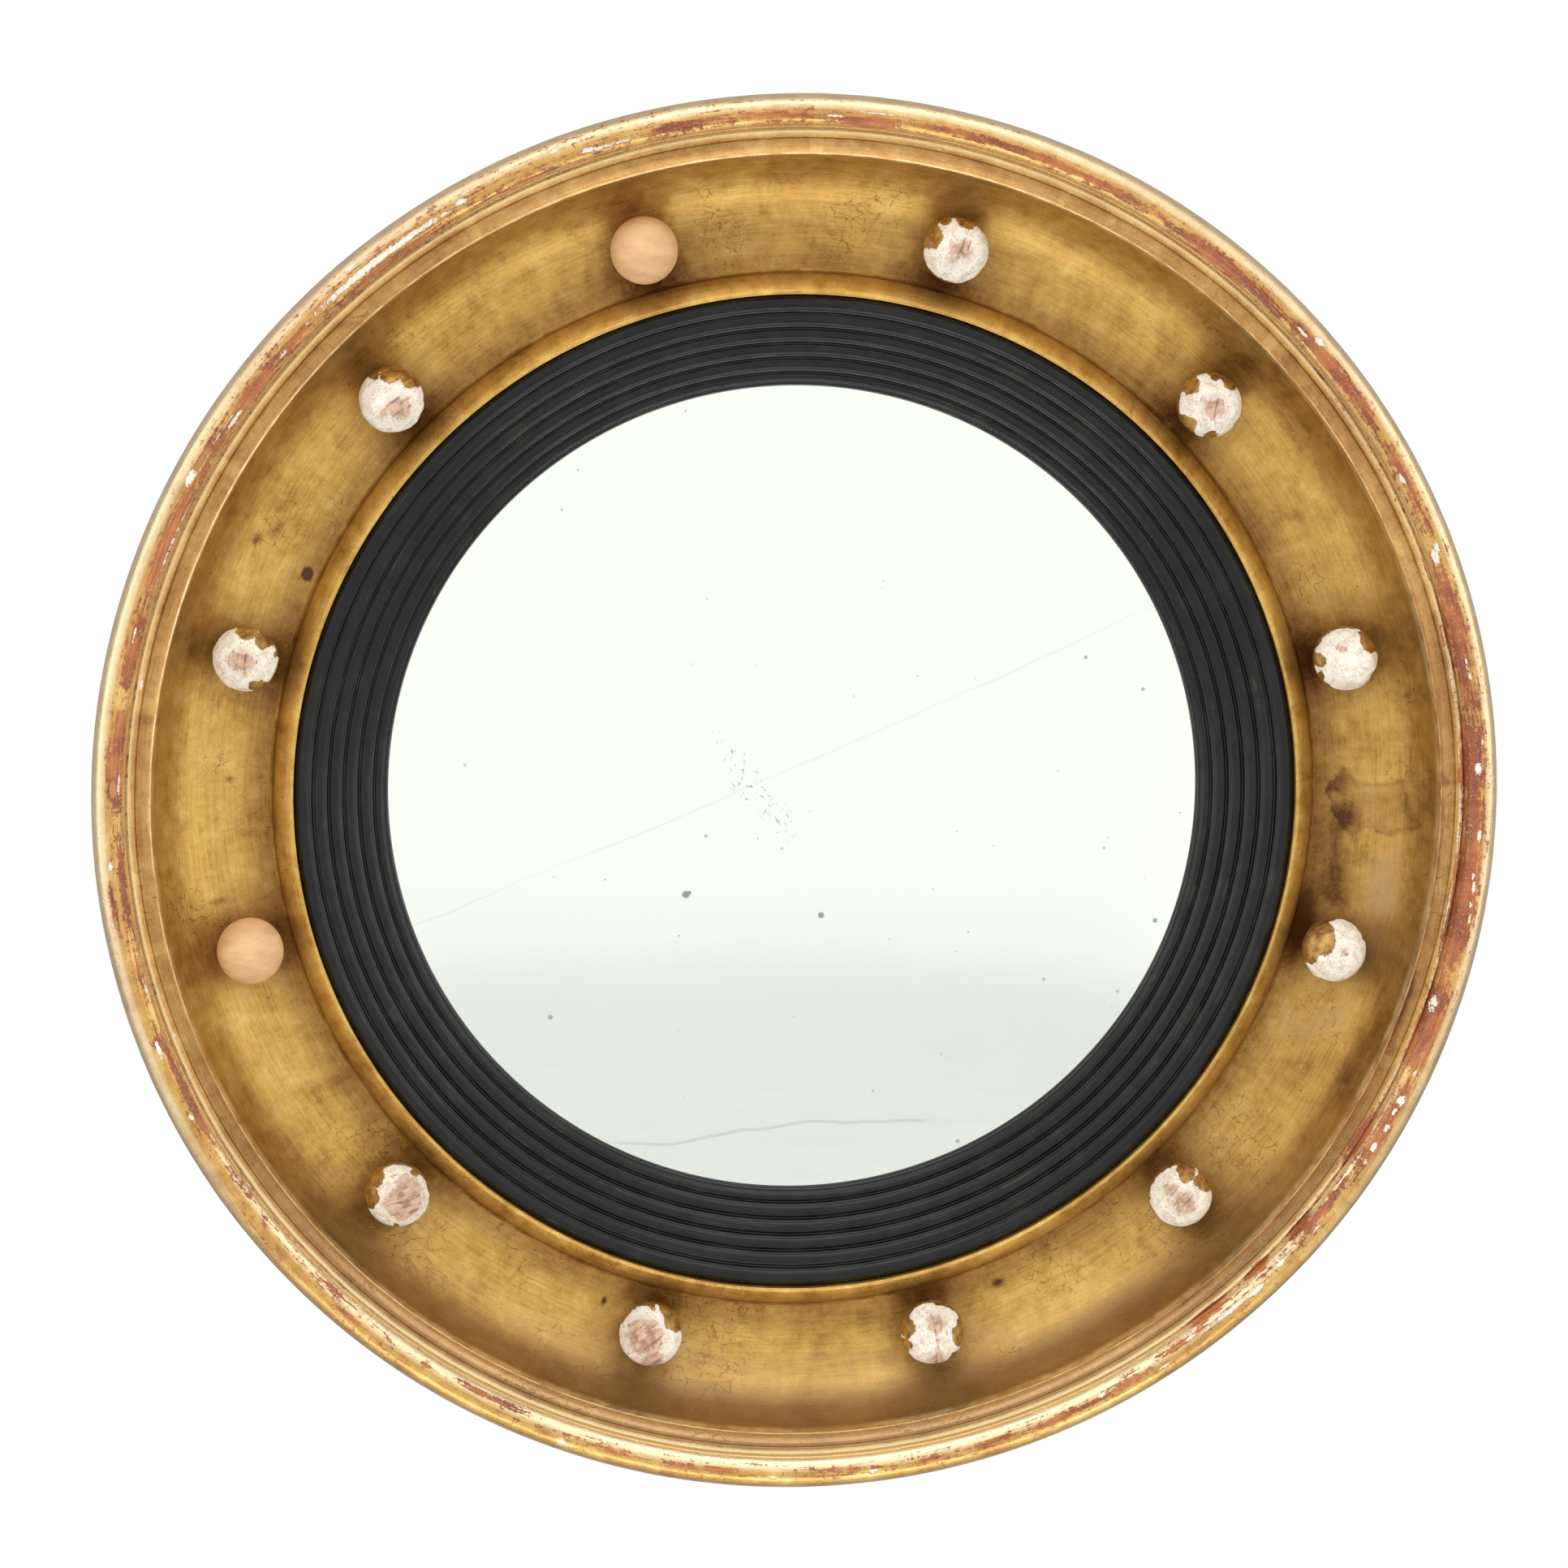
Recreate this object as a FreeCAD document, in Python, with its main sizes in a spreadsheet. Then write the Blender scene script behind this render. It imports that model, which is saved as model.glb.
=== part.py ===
import FreeCAD, Part
import Sketcher
import math
import os

Vector = FreeCAD.Vector
Rotation = FreeCAD.Rotation
Placement = FreeCAD.Placement

# Driving dimensions in millimetres and degrees. A drop is measured back towards the wall.
SIZES = {
    # mouldings of the front ring, from the rim inwards
    "rim_radius": 268.0,
    "frame_depth": 70.0,
    "torus_radius": 6.6,
    "torus_quirk_drop": 6.8,
    "quirk_width": 0.5,
    "fillet_drop": 5.1,
    "fillet_width": 2.3,
    "groove_width": 0.9,
    "groove_drop": 6.4,
    "hollow_curve": 14.0,
    "arris_inset": 22.4,
    "arris_drop": 4.0,
    "cove_radius": 32.2,
    "cove_floor_height": 33.8,
    "cove_foot_reach": 10.6,
    "lip_quirk_width": 0.6,
    "lip_quirk_drop": 1.2,
    "lip_width": 8.9,
    "lip_rise": 11.5,
    "lip_curve": 17.0,
    "lip_edge_width": 0.9,
    "lip_thickness": 8.0,
    # side of the frame and its two laminations
    "shoulder_inset": 4.0,
    "shoulder_depth": 2.2,
    "side_inset": 8.0,
    "side_chamfer": 1.5,
    "lamination_height": 22.0,
    "segment_count": 6,
    "flange_width": 4.2,
    "rear_rim_width": 31.0,
    # balls and their pegs
    "ball_count": 12,
    "ball_diameter": 25.4,
    "ball_offset": 4.4,
    "ball_start_angle": 15.0,
    "ball_seat_gap": 0.05,
    "peg_diameter": 6.4,
    "peg_in_ball": 9.0,
    "peg_in_frame": 10.0,
    "peg_play": 0.02,
    "peg_end_gap": 0.5,
    "peg_chamfer": 0.8,
    # ebonised slip
    "slip_clearance": 0.2,
    "slip_edge_drop": 3.4,
    "band_width": 7.1,
    "band_drop": 2.2,
    "band_curve": 4.1,
    "reed_count": 4,
    "reed_pitch": 5.7,
    "reed_drop": 3.17,
    "reed_curve": 3.6,
    "bead_width": 3.9,
    "bead_drop": 1.5,
    "bead_curve": 2.4,
    "sight_flat": 0.9,
    "sight_thickness": 1.9,
    # convex glass and the blocks behind it
    "glass_overlap": 7.6,
    "glass_thickness": 2.5,
    "glass_curvature": 903.0,
    "glass_seat_gap": 0.05,
    "glass_edge_clearance": 1.0,
    "block_count": 8,
    "block_lap": 7.0,
    "block_wall_gap": 1.0,
    "block_width": 24.0,
    "block_corner": 5.0,
    "block_gap": 0.05,
    # brads through the flange of the slip
    "brad_count": 8,
    "brad_start_angle": 10.0,
    "brad_diameter": 1.4,
    "brad_head_diameter": 2.2,
    "brad_head_thickness": 0.7,
    "brad_bite": 4.4,
    "brad_tip_length": 1.8,
    "brad_play": 0.02,
    # backboard and its screws
    "board_thickness": 8.0,
    "board_recess": 6.0,
    "board_edge_gap": 1.0,
    "board_joint_gap": 0.4,
    "board_middle_width": 152.0,
    "board_bevel": 3.0,
    "screw_edge_distance": 14.0,
    "screw_shank_diameter": 3.5,
    "screw_head_diameter": 6.8,
    "screw_tip_length": 4.0,
    "screw_tip_diameter": 0.6,
    "screw_tip_cover": 0.5,
    "screw_slot_width": 0.8,
    "screw_slot_depth": 0.9,
    "screw_play": 0.05,
    # strap hangers with their D-rings
    "hanger_inset": 38.0,
    "hanger_angle": 25.0,
    "hanger_slant": 30.0,
    "strap_width": 12.0,
    "strap_length": 30.0,
    "strap_thickness": 1.0,
    "strap_first_hole": 22.0,
    "strap_hole_pitch": 9.0,
    "knuckle_wall": 1.0,
    "ring_wire_diameter": 2.6,
    "ring_play": 0.1,
    "ring_strap_gap": 0.5,
    "ring_inner_width": 20.0,
    "ring_arm_length": 5.0,
    "ring_corner_radius": 3.0,
}
BOARD_SCREW_ANGLES = (0, 50, 82, 98, 130, 180, 230, 262, 278, 310)
# The ball holes were bored by eye: degrees by which each ball lies past its even place.
BALL_DRIFT = (-0.5, -0.75, -0.4, 0.9, 0.2, 0.15, 0.1, -0.4, -0.2, -0.8, -1.2, -0.95)

doc = FreeCAD.newDocument("ButlersMirror")
sheet = doc.addObject("Spreadsheet::Sheet", "Sizes")
for row, (alias, amount) in enumerate(SIZES.items(), start=1):
    sheet.set(f"A{row}", alias)
    sheet.set(f"B{row}", str(amount))
    sheet.setAlias(f"B{row}", alias)
doc.recompute()


class Size:
    """A number with its sheet expression, so that whatever is worked out from it stays bound."""

    def __init__(self, number, text=None):
        self.number = float(number)
        self.text = text or repr(float(number))

    def joined(self, other, sign, number):
        return Size(number, f"({self.text} {sign} {other.text})")

    def __add__(self, other):
        other = as_size(other)
        return self.joined(other, "+", self.number + other.number)

    def __sub__(self, other):
        other = as_size(other)
        return self.joined(other, "-", self.number - other.number)

    def __mul__(self, other):
        other = as_size(other)
        return self.joined(other, "*", self.number * other.number)

    def __truediv__(self, other):
        other = as_size(other)
        return self.joined(other, "/", self.number / other.number)

    def __neg__(self):
        return Size(-self.number, f"(0 - {self.text})")


def as_size(value):
    return value if isinstance(value, Size) else Size(value)


def root(value):
    return Size(math.sqrt(value.number), f"sqrt({value.text})")


def cosine(angle):
    return Size(math.cos(math.radians(angle.number)), f"cos({angle.text} * 1 deg)")


def sine(angle):
    return Size(math.sin(math.radians(angle.number)), f"sin({angle.text} * 1 deg)")


def other_leg(hypotenuse, leg):
    return root(hypotenuse * hypotenuse - leg * leg)


def around(radius, angle):
    """Plan position at this radius and angle on the face of the frame."""
    return radius * cosine(angle), radius * sine(angle)


size = {alias: Size(amount, f"Sizes.{alias}") for alias, amount in SIZES.items()}

# Pieces are drawn as on a lathe: X is the radius and Z the height out from the wall plane.
# FACING then hangs them on the wall, so that the face looks towards -Y and the back is at Y = 0.
FACING = Placement(Vector(0, 0, 0), Rotation(Vector(1, 0, 0), 90))
UNTURNED = Rotation()


def bind(feature, **values):
    for name, value in values.items():
        value = as_size(value)
        whole = feature.getTypeIdOfProperty(name).startswith("App::PropertyInteger")
        setattr(feature, name, int(value.number) if whole else value.number)
        feature.setExpression(name, value.text)


def place(feature, x, y, z, rotation=UNTURNED):
    spot = [as_size(part) for part in (x, y, z)]
    feature.Placement = Placement(Vector(*(part.number for part in spot)), rotation)
    for axis, part in zip("xyz", spot):
        feature.setExpression(f"Placement.Base.{axis}", part.text)


def hang(feature, x, y, height):
    """Place a piece drawn at the lathe's origin at a plan position and height on the hanging frame."""
    place(feature, x, -as_size(height), y, FACING.Rotation)


def new_sketch(body, name, plane, height=None):
    sketch = body.newObject("Sketcher::SketchObject", name)
    support = next(item for item in body.Origin.OriginFeatures if item.Role == plane)
    sketch.AttachmentSupport = [(support, "")]
    sketch.MapMode = "FlatFace"
    if height is not None:
        sketch.AttachmentOffset = Placement(Vector(0, 0, height.number), UNTURNED)
        sketch.setExpression("AttachmentOffset.Base.z", height.text)
    return sketch


def constrain(sketch, kind, *where, value=None):
    if value is None:
        sketch.addConstraint(Sketcher.Constraint(kind, *where))
        return
    index = sketch.addConstraint(Sketcher.Constraint(kind, *where, value.number))
    sketch.setExpression(f"Constraints[{index}]", value.text)


def pin(sketch, geometry, vertex, x, y):
    """Tie a vertex to its two coordinates; a plain 0 puts it on the axis itself."""
    for kind, axis, coordinate in (("DistanceX", -2, x), ("DistanceY", -1, y)):
        if isinstance(coordinate, Size):
            constrain(sketch, kind, -1, 1, geometry, vertex, value=coordinate)
        else:
            constrain(sketch, "PointOnObject", geometry, vertex, axis)


def draw_outline(sketch, corners):
    """Closed outline through corners (x, y) or (x, y, radius, turn). The last two describe the arc that
    leaves the corner: +1 turns counter-clockwise and -1 clockwise, and +2 goes the long way round."""
    ends = []
    for corner, following in zip(corners, corners[1:] + corners[:1]):
        start = Vector(as_size(corner[0]).number, as_size(corner[1]).number, 0)
        stop = Vector(as_size(following[0]).number, as_size(following[1]).number, 0)
        if len(corner) == 2:
            index = sketch.addGeometry(Part.LineSegment(start, stop), False)
            ends.append((index, 1, 2))
            continue
        radius, turn = corner[2:]
        chord = stop - start
        across = Vector(-chord.y, chord.x, 0).normalize()
        rise = math.sqrt(max(radius.number ** 2 - chord.Length ** 2 / 4, 0))
        centre = (start + stop) / 2 + across * (rise if turn == 1 else -rise)
        low, high = (start, stop) if turn > 0 else (stop, start)
        angles = [math.atan2(point.y - centre.y, point.x - centre.x) for point in (low, high)]
        circle = Part.Circle(centre, Vector(0, 0, 1), radius.number)
        index = sketch.addGeometry(Part.ArcOfCircle(circle, *angles), False)
        constrain(sketch, "Radius", index, value=radius)
        ends.append((index, 1, 2) if turn > 0 else (index, 2, 1))
    for number, (index, head, tail) in enumerate(ends):
        following = ends[(number + 1) % len(ends)]
        constrain(sketch, "Coincident", index, tail, following[0], following[1])
        pin(sketch, index, head, corners[number][0], corners[number][1])


def draw_circle(sketch, x, y, radius):
    centre = Vector(as_size(x).number, as_size(y).number, 0)
    index = sketch.addGeometry(Part.Circle(centre, Vector(0, 0, 1), radius.number), False)
    constrain(sketch, "Radius", index, value=radius)
    pin(sketch, index, 3, x, y)


def turned_body(label, corners):
    """Body turned about its own Z axis from one closed outline of radius and height."""
    body = doc.addObject("PartDesign::Body", label)
    sketch = new_sketch(body, f"{label}_outline", "XZ_Plane")
    draw_outline(sketch, corners)
    turning = body.newObject("PartDesign::Revolution", f"{label}_turning")
    turning.Profile = sketch
    turning.ReferenceAxis = (sketch, ["V_Axis"])
    turning.Angle = 360.0
    body.Tip = turning
    doc.recompute()
    return body


def cut_upwards(body, name, floor, depth, draw):
    """Pocket from the height floor towards the front, of whatever draw puts in its sketch."""
    sketch = new_sketch(body, f"{name}_plan", "XY_Plane", floor)
    draw(sketch)
    before = body.Shape.Volume
    pocket = body.newObject("PartDesign::Pocket", name)
    pocket.Profile = sketch
    pocket.Reversed = True
    bind(pocket, Length=depth)
    body.Tip = pocket
    doc.recompute()
    if not body.Shape.Volume < before:
        raise RuntimeError(f"{name} removed nothing")


def drill(body, name, spots, radius, floor, depth):
    def draw(sketch):
        for x, y in spots:
            draw_circle(sketch, x, y, radius)
    cut_upwards(body, name, floor, depth, draw)


def group(label, shapes):
    """One node of several separate solids, turned to hang on the wall."""
    feature = doc.addObject("Part::Feature", label)
    feature.Shape = Part.makeCompound(shapes)
    feature.Placement = FACING
    return feature


def repeated(label, prototype, spots):
    """Copies of one piece at spots (x, y, height, turn about its own axis)."""
    copies = []
    for x, y, height, turn in spots:
        copy = prototype.Shape.copy()
        copy.Placement = Placement(Vector(x.number, y.number, height.number),
                                   Rotation(Vector(0, 0, 1), turn))
        copies.append(copy)
    return group(label, copies)


def segments(label, ring, first_joint):
    """The ring parted at its radial glue joints into equal segments."""
    count = int(size["segment_count"].number)
    pieces = []
    for number in range(count):
        wedge = Part.makeCylinder(2 * size["rim_radius"].number, 2 * size["frame_depth"].number,
                                  Vector(0, 0, 0), Vector(0, 0, 1), 360 / count)
        wedge.rotate(Vector(0, 0, 0), Vector(0, 0, 1), first_joint + number * 360 / count)
        pieces.extend(ring.Shape.common(wedge).Solids)
    if len(pieces) != count:
        raise RuntimeError(f"{label} has {len(pieces)} segments, not {count}")
    return group(label, pieces)


# ---- heights and radii that several pieces share ----
torus_centre_radius = size["rim_radius"] - size["torus_radius"]
torus_centre_height = size["frame_depth"] - size["torus_radius"]
shoulder_radius = size["rim_radius"] - size["shoulder_inset"]
shoulder_top = torus_centre_height - other_leg(size["torus_radius"], shoulder_radius - torus_centre_radius)
shoulder_foot = shoulder_top - size["shoulder_depth"]
side_radius = size["rim_radius"] - size["side_inset"]
cavetto_radius = shoulder_radius - side_radius

torus_quirk_height = size["frame_depth"] - size["torus_quirk_drop"]
torus_quirk_radius = torus_centre_radius - other_leg(size["torus_radius"],
                                                     torus_quirk_height - torus_centre_height)
fillet_outer_radius = torus_quirk_radius - size["quirk_width"]
fillet_inner_radius = fillet_outer_radius - size["fillet_width"]
fillet_height = size["frame_depth"] - size["fillet_drop"]
groove_radius = fillet_inner_radius - size["groove_width"]
groove_height = size["frame_depth"] - size["groove_drop"]
arris_radius = size["rim_radius"] - size["arris_inset"]
arris_height = size["frame_depth"] - size["arris_drop"]

cove_centre_height = size["cove_floor_height"] + size["cove_radius"]
cove_centre_radius = arris_radius - other_leg(size["cove_radius"], cove_centre_height - arris_height)
cove_foot_radius = cove_centre_radius - size["cove_foot_reach"]
cove_foot_height = cove_centre_height - other_leg(size["cove_radius"], size["cove_foot_reach"])
lip_foot_radius = cove_foot_radius - size["lip_quirk_width"]
lip_foot_height = cove_foot_height - size["lip_quirk_drop"]
lip_radius = lip_foot_radius - size["lip_width"]
lip_height = lip_foot_height + size["lip_rise"]

slip_seat_height = lip_height - size["lip_thickness"]
slip_rebate_radius = lip_radius + size["flange_width"]
board_rebate_radius = side_radius - size["rear_rim_width"]
board_radius = board_rebate_radius - size["board_edge_gap"]
shelf_height = size["board_recess"] + size["board_thickness"]

ball_radius = size["ball_diameter"] / 2
ball_ring_radius = cove_centre_radius + size["ball_offset"]
ball_height = cove_centre_height - other_leg(size["cove_radius"] - ball_radius - size["ball_seat_gap"],
                                             size["ball_offset"])
ball_pitch = Size(360) / size["ball_count"]
ball_angles = [size["ball_start_angle"] + ball_pitch * number + BALL_DRIFT[number % len(BALL_DRIFT)]
               for number in range(int(SIZES["ball_count"]))]
peg_floor = cove_centre_height - other_leg(size["cove_radius"], size["ball_offset"]) - size["peg_in_frame"]
peg_hole_radius = size["peg_diameter"] / 2 + size["peg_play"]

slip_face_radius = lip_radius - size["slip_clearance"]
slip_edge_height = lip_height - size["slip_edge_drop"]
reed_start_radius = slip_face_radius - size["band_width"]
reed_start_height = slip_edge_height - size["band_drop"]
bead_start_radius = reed_start_radius - size["reed_pitch"] * size["reed_count"]
bead_start_height = reed_start_height - size["reed_drop"] * size["reed_count"]
sight_front_radius = bead_start_radius - size["bead_width"]
sight_radius = sight_front_radius - size["sight_flat"]
sight_height = bead_start_height - size["bead_drop"]
glass_seat_height = sight_height - size["sight_thickness"]

glass_radius = sight_radius + size["glass_overlap"]
glass_back_curvature = size["glass_curvature"] - size["glass_thickness"]
glass_centre_height = (glass_seat_height - size["glass_seat_gap"]
                       - other_leg(size["glass_curvature"], sight_radius))
glass_front_edge = glass_centre_height + other_leg(size["glass_curvature"], glass_radius)
glass_back_edge = glass_centre_height + other_leg(glass_back_curvature, glass_radius)
slip_back_height = glass_back_edge

nodes = {}

# ---- front ring: six segments glued up and turned as one, then gilded ----
rim_blank = turned_body("rim_blank", [
    (slip_rebate_radius, size["lamination_height"]),
    (side_radius, size["lamination_height"]),
    (side_radius, shoulder_foot - cavetto_radius, cavetto_radius, -1),
    (shoulder_radius, shoulder_foot),
    (shoulder_radius, shoulder_top, size["torus_radius"], 2),
    (torus_quirk_radius, torus_quirk_height),
    (fillet_outer_radius, fillet_height),
    (fillet_inner_radius, fillet_height),
    (groove_radius, groove_height, size["hollow_curve"], -1),
    (arris_radius, arris_height, size["cove_radius"], -1),
    (cove_foot_radius, cove_foot_height),
    (lip_foot_radius, lip_foot_height, size["lip_curve"], 1),
    (lip_radius + size["lip_edge_width"], lip_height),
    (lip_radius, lip_height),
    (lip_radius, slip_seat_height),
    (slip_rebate_radius, slip_seat_height),
])
ball_spots = [around(ball_ring_radius, angle) for angle in ball_angles]
drill(rim_blank, "peg_holes", ball_spots, peg_hole_radius, peg_floor, size["peg_in_frame"] + ball_radius)

brad_pitch = Size(360) / size["brad_count"]
brad_circle_radius = slip_rebate_radius - size["flange_width"] / 2
brad_angles = [size["brad_start_angle"] + brad_pitch * number for number in range(int(SIZES["brad_count"]))]
brad_spots = [around(brad_circle_radius, angle) for angle in brad_angles]
brad_hole_radius = size["brad_diameter"] / 2 + size["brad_play"]
drill(rim_blank, "brad_holes", brad_spots, brad_hole_radius, slip_seat_height,
      size["brad_bite"] + size["brad_play"])
nodes["rim_ring"] = segments("rim_ring", rim_blank, 0)

# ---- back ring: the second lamination, with its joints halfway along the segments in front ----
back_blank = turned_body("back_blank", [
    (slip_rebate_radius, shelf_height),
    (board_rebate_radius, shelf_height),
    (board_rebate_radius, 0),
    (side_radius - size["side_chamfer"], 0),
    (side_radius, size["side_chamfer"]),
    (side_radius, size["lamination_height"]),
    (slip_rebate_radius, size["lamination_height"]),
])
board_screw_circle = board_radius - size["screw_edge_distance"]
board_screw_spots = [around(board_screw_circle, Size(angle)) for angle in BOARD_SCREW_ANGLES]

hanger_radius = board_radius - size["hanger_inset"]
hanger_x, hanger_y = around(hanger_radius, size["hanger_angle"])
hanger_screw_spots = []
for side in (1, -1):
    for reach in (size["strap_first_hole"], size["strap_first_hole"] + size["strap_hole_pitch"]):
        across, down = around(reach, size["hanger_slant"])
        hanger_screw_spots.append(((hanger_x + across) * side, hanger_y - down))

screw_shank_radius = size["screw_shank_diameter"] / 2
screw_head_radius = size["screw_head_diameter"] / 2
screw_top = size["lamination_height"] - size["screw_tip_cover"]
drill(back_blank, "screw_holes", board_screw_spots + hanger_screw_spots,
      screw_shank_radius + size["screw_play"], shelf_height,
      screw_top + size["screw_tip_cover"] / 2 - shelf_height)
nodes["back_ring"] = segments("back_ring", back_blank, 180 / SIZES["segment_count"])

# ---- balls: turned spheres, each bored from behind for its peg ----
for number, (x, y) in enumerate(ball_spots, start=1):
    sphere = doc.addObject("Part::Sphere", f"ball_{number:02d}_sphere")
    bind(sphere, Radius=ball_radius)
    bore = doc.addObject("Part::Cylinder", f"ball_{number:02d}_bore")
    bind(bore, Radius=peg_hole_radius, Height=size["peg_in_ball"] + ball_radius)
    place(bore, 0, 0, -(ball_radius * 2))
    ball = doc.addObject("Part::Cut", f"ball_{number:02d}")
    ball.Base = sphere
    ball.Tool = bore
    hang(ball, x, y, ball_height)
    nodes[f"ball_{number:02d}"] = ball

# ---- pegs: chamfered dowels between the balls and the cove ----
peg_radius = size["peg_diameter"] / 2
peg_start = peg_floor + size["peg_end_gap"]
peg_length = ball_height - ball_radius + size["peg_in_ball"] - size["peg_end_gap"] - peg_start
peg = turned_body("peg", [
    (0, 0),
    (peg_radius - size["peg_chamfer"], 0),
    (peg_radius, size["peg_chamfer"]),
    (peg_radius, peg_length - size["peg_chamfer"]),
    (peg_radius - size["peg_chamfer"], peg_length),
    (0, peg_length),
])
nodes["ball_pegs"] = repeated("ball_pegs", peg, [(x, y, peg_start, 0) for x, y in ball_spots])

# ---- slip: an outer half-round band, reeds that step down to the glass, and the sight bead ----
reeds = []
for number in range(int(SIZES["reed_count"])):
    reeds.append((reed_start_radius - size["reed_pitch"] * number,
                  reed_start_height - size["reed_drop"] * number, size["reed_curve"], 1))
slip_rebate = glass_radius + size["glass_edge_clearance"]
slip_outer_radius = slip_rebate_radius - size["slip_clearance"]
slip = turned_body("slip", [
    (slip_rebate, slip_back_height),
    (slip_outer_radius, slip_back_height),
    (slip_outer_radius, slip_seat_height),
    (slip_face_radius, slip_seat_height),
    (slip_face_radius, slip_edge_height, size["band_curve"], 1),
    *reeds,
    (bead_start_radius, bead_start_height, size["bead_curve"], 1),
    (sight_front_radius, sight_height),
    (sight_radius, sight_height),
    (sight_radius, glass_seat_height),
    (slip_rebate, glass_seat_height),
])
drill(slip, "slip_brad_holes", brad_spots, brad_hole_radius, slip_back_height,
      slip_seat_height - slip_back_height + size["brad_play"])
brad_head_radius = size["brad_head_diameter"] / 2
drill(slip, "slip_brad_recesses", brad_spots, brad_head_radius + size["brad_play"], slip_back_height,
      size["brad_head_thickness"] + size["brad_play"])
slip.Placement = FACING
nodes["slip"] = slip

# ---- brads: driven from behind through the slip's flange into the lip ----
brad_radius = size["brad_diameter"] / 2
brad_length = slip_seat_height - slip_back_height + size["brad_bite"]
brad = turned_body("brad", [
    (0, 0),
    (brad_head_radius, 0),
    (brad_head_radius, size["brad_head_thickness"]),
    (brad_radius, size["brad_head_thickness"]),
    (brad_radius, brad_length - size["brad_tip_length"]),
    (0, brad_length),
])
nodes["slip_brads"] = repeated("slip_brads", brad, [(x, y, slip_back_height, 0) for x, y in brad_spots])

# ---- glass: one spherical sheet, silvered behind ----
mirror_glass = turned_body("mirror_glass", [
    (0, glass_centre_height + glass_back_curvature, glass_back_curvature, -1),
    (glass_radius, glass_back_edge),
    (glass_radius, glass_front_edge, size["glass_curvature"], 1),
    (0, glass_centre_height + size["glass_curvature"]),
])
mirror_glass.Placement = FACING
nodes["mirror_glass"] = mirror_glass

# ---- blocks: small pine pieces that lap the edge of the glass from behind ----
block_start = glass_radius - size["block_lap"]
block_end = slip_rebate_radius - size["block_wall_gap"]
block_half = size["block_width"] / 2
block = doc.addObject("PartDesign::Body", "glass_block")
block_plan = new_sketch(block, "glass_block_plan", "XY_Plane", shelf_height + size["block_gap"])
draw_outline(block_plan, [
    (block_start + size["block_corner"], -block_half),
    (block_end, -block_half),
    (block_end, block_half),
    (block_start + size["block_corner"], block_half),
    (block_start, block_half - size["block_corner"]),
    (block_start, size["block_corner"] - block_half),
])
block_pad = block.newObject("PartDesign::Pad", "glass_block_pad")
block_pad.Profile = block_plan
bind(block_pad, Length=slip_back_height - shelf_height - size["block_gap"] * 2)
block.Tip = block_pad
doc.recompute()
block_pitch = 360 / SIZES["block_count"]
block_turns = [SIZES["brad_start_angle"] + block_pitch * (number + 0.5)
               for number in range(int(SIZES["block_count"]))]
nodes["glass_blocks"] = repeated("glass_blocks", block, [
    (Size(0), Size(0), Size(0), turn) for turn in block_turns
])

# ---- backboard: three boards with a bevelled rear edge, bored and countersunk for the screws ----
board_blank = turned_body("board_blank", [
    (0, size["board_recess"]),
    (board_radius - size["board_bevel"], size["board_recess"]),
    (board_radius, size["board_recess"] + size["board_bevel"]),
    (board_radius, shelf_height),
    (0, shelf_height),
])


def screw_cutter(name, x, y, head_height, reach):
    """Countersink and clearance bore for a screw whose head lies at head_height, towards the front."""
    sink = doc.addObject("Part::Cone", f"{name}_sink")
    bind(sink, Radius1=screw_head_radius + size["screw_play"], Radius2=screw_shank_radius + size["screw_play"],
         Height=screw_head_radius - screw_shank_radius)
    place(sink, x, y, head_height)
    bore = doc.addObject("Part::Cylinder", f"{name}_bore")
    bind(bore, Radius=screw_shank_radius + size["screw_play"], Height=reach)
    place(bore, x, y, head_height)
    return [sink, bore]


hanger_head_height = size["board_recess"] - size["strap_thickness"]
cutters = []
for number, (x, y) in enumerate(board_screw_spots, start=1):
    cutters += screw_cutter(f"board_screw_{number}", x, y, size["board_recess"], size["board_thickness"] * 2)
for number, (x, y) in enumerate(hanger_screw_spots, start=1):
    cutters += screw_cutter(f"hanger_screw_{number}", x, y, hanger_head_height, size["board_thickness"] * 2)
screw_bores = doc.addObject("Part::Compound", "screw_bores")
screw_bores.Links = cutters

middle_half = size["board_middle_width"] / 2
joint_half = size["board_joint_gap"] / 2
for side, start, width in (
    ("left", -board_rebate_radius, board_rebate_radius - middle_half - joint_half),
    ("middle", -(middle_half - joint_half), (middle_half - joint_half) * 2),
    ("right", middle_half + joint_half, board_rebate_radius - middle_half - joint_half),
):
    strip = doc.addObject("Part::Box", f"backboard_{side}_strip")
    bind(strip, Length=width, Width=board_rebate_radius * 2, Height=size["frame_depth"])
    place(strip, start, -board_rebate_radius, 0)
    board = doc.addObject("Part::Common", f"backboard_{side}_plain")
    board.Base = board_blank
    board.Tool = strip
    bored = doc.addObject("Part::Cut", f"backboard_{side}")
    bored.Base = board
    bored.Tool = screw_bores
    bored.Placement = FACING
    nodes[f"backboard_{side}"] = bored


# ---- slotted countersunk screws, drawn from the head's face forwards ----
def screw(name, length):
    body = turned_body(name, [
        (0, 0),
        (screw_head_radius, 0),
        (screw_shank_radius, screw_head_radius - screw_shank_radius),
        (screw_shank_radius, length - size["screw_tip_length"]),
        (size["screw_tip_diameter"] / 2, length),
        (0, length),
    ])
    half_width = size["screw_slot_width"] / 2

    def draw_slot(sketch):
        draw_outline(sketch, [
            (-size["screw_head_diameter"], -half_width),
            (size["screw_head_diameter"], -half_width),
            (size["screw_head_diameter"], half_width),
            (-size["screw_head_diameter"], half_width),
        ])
    cut_upwards(body, f"{name}_slot", Size(0), size["screw_slot_depth"], draw_slot)
    return body


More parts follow.
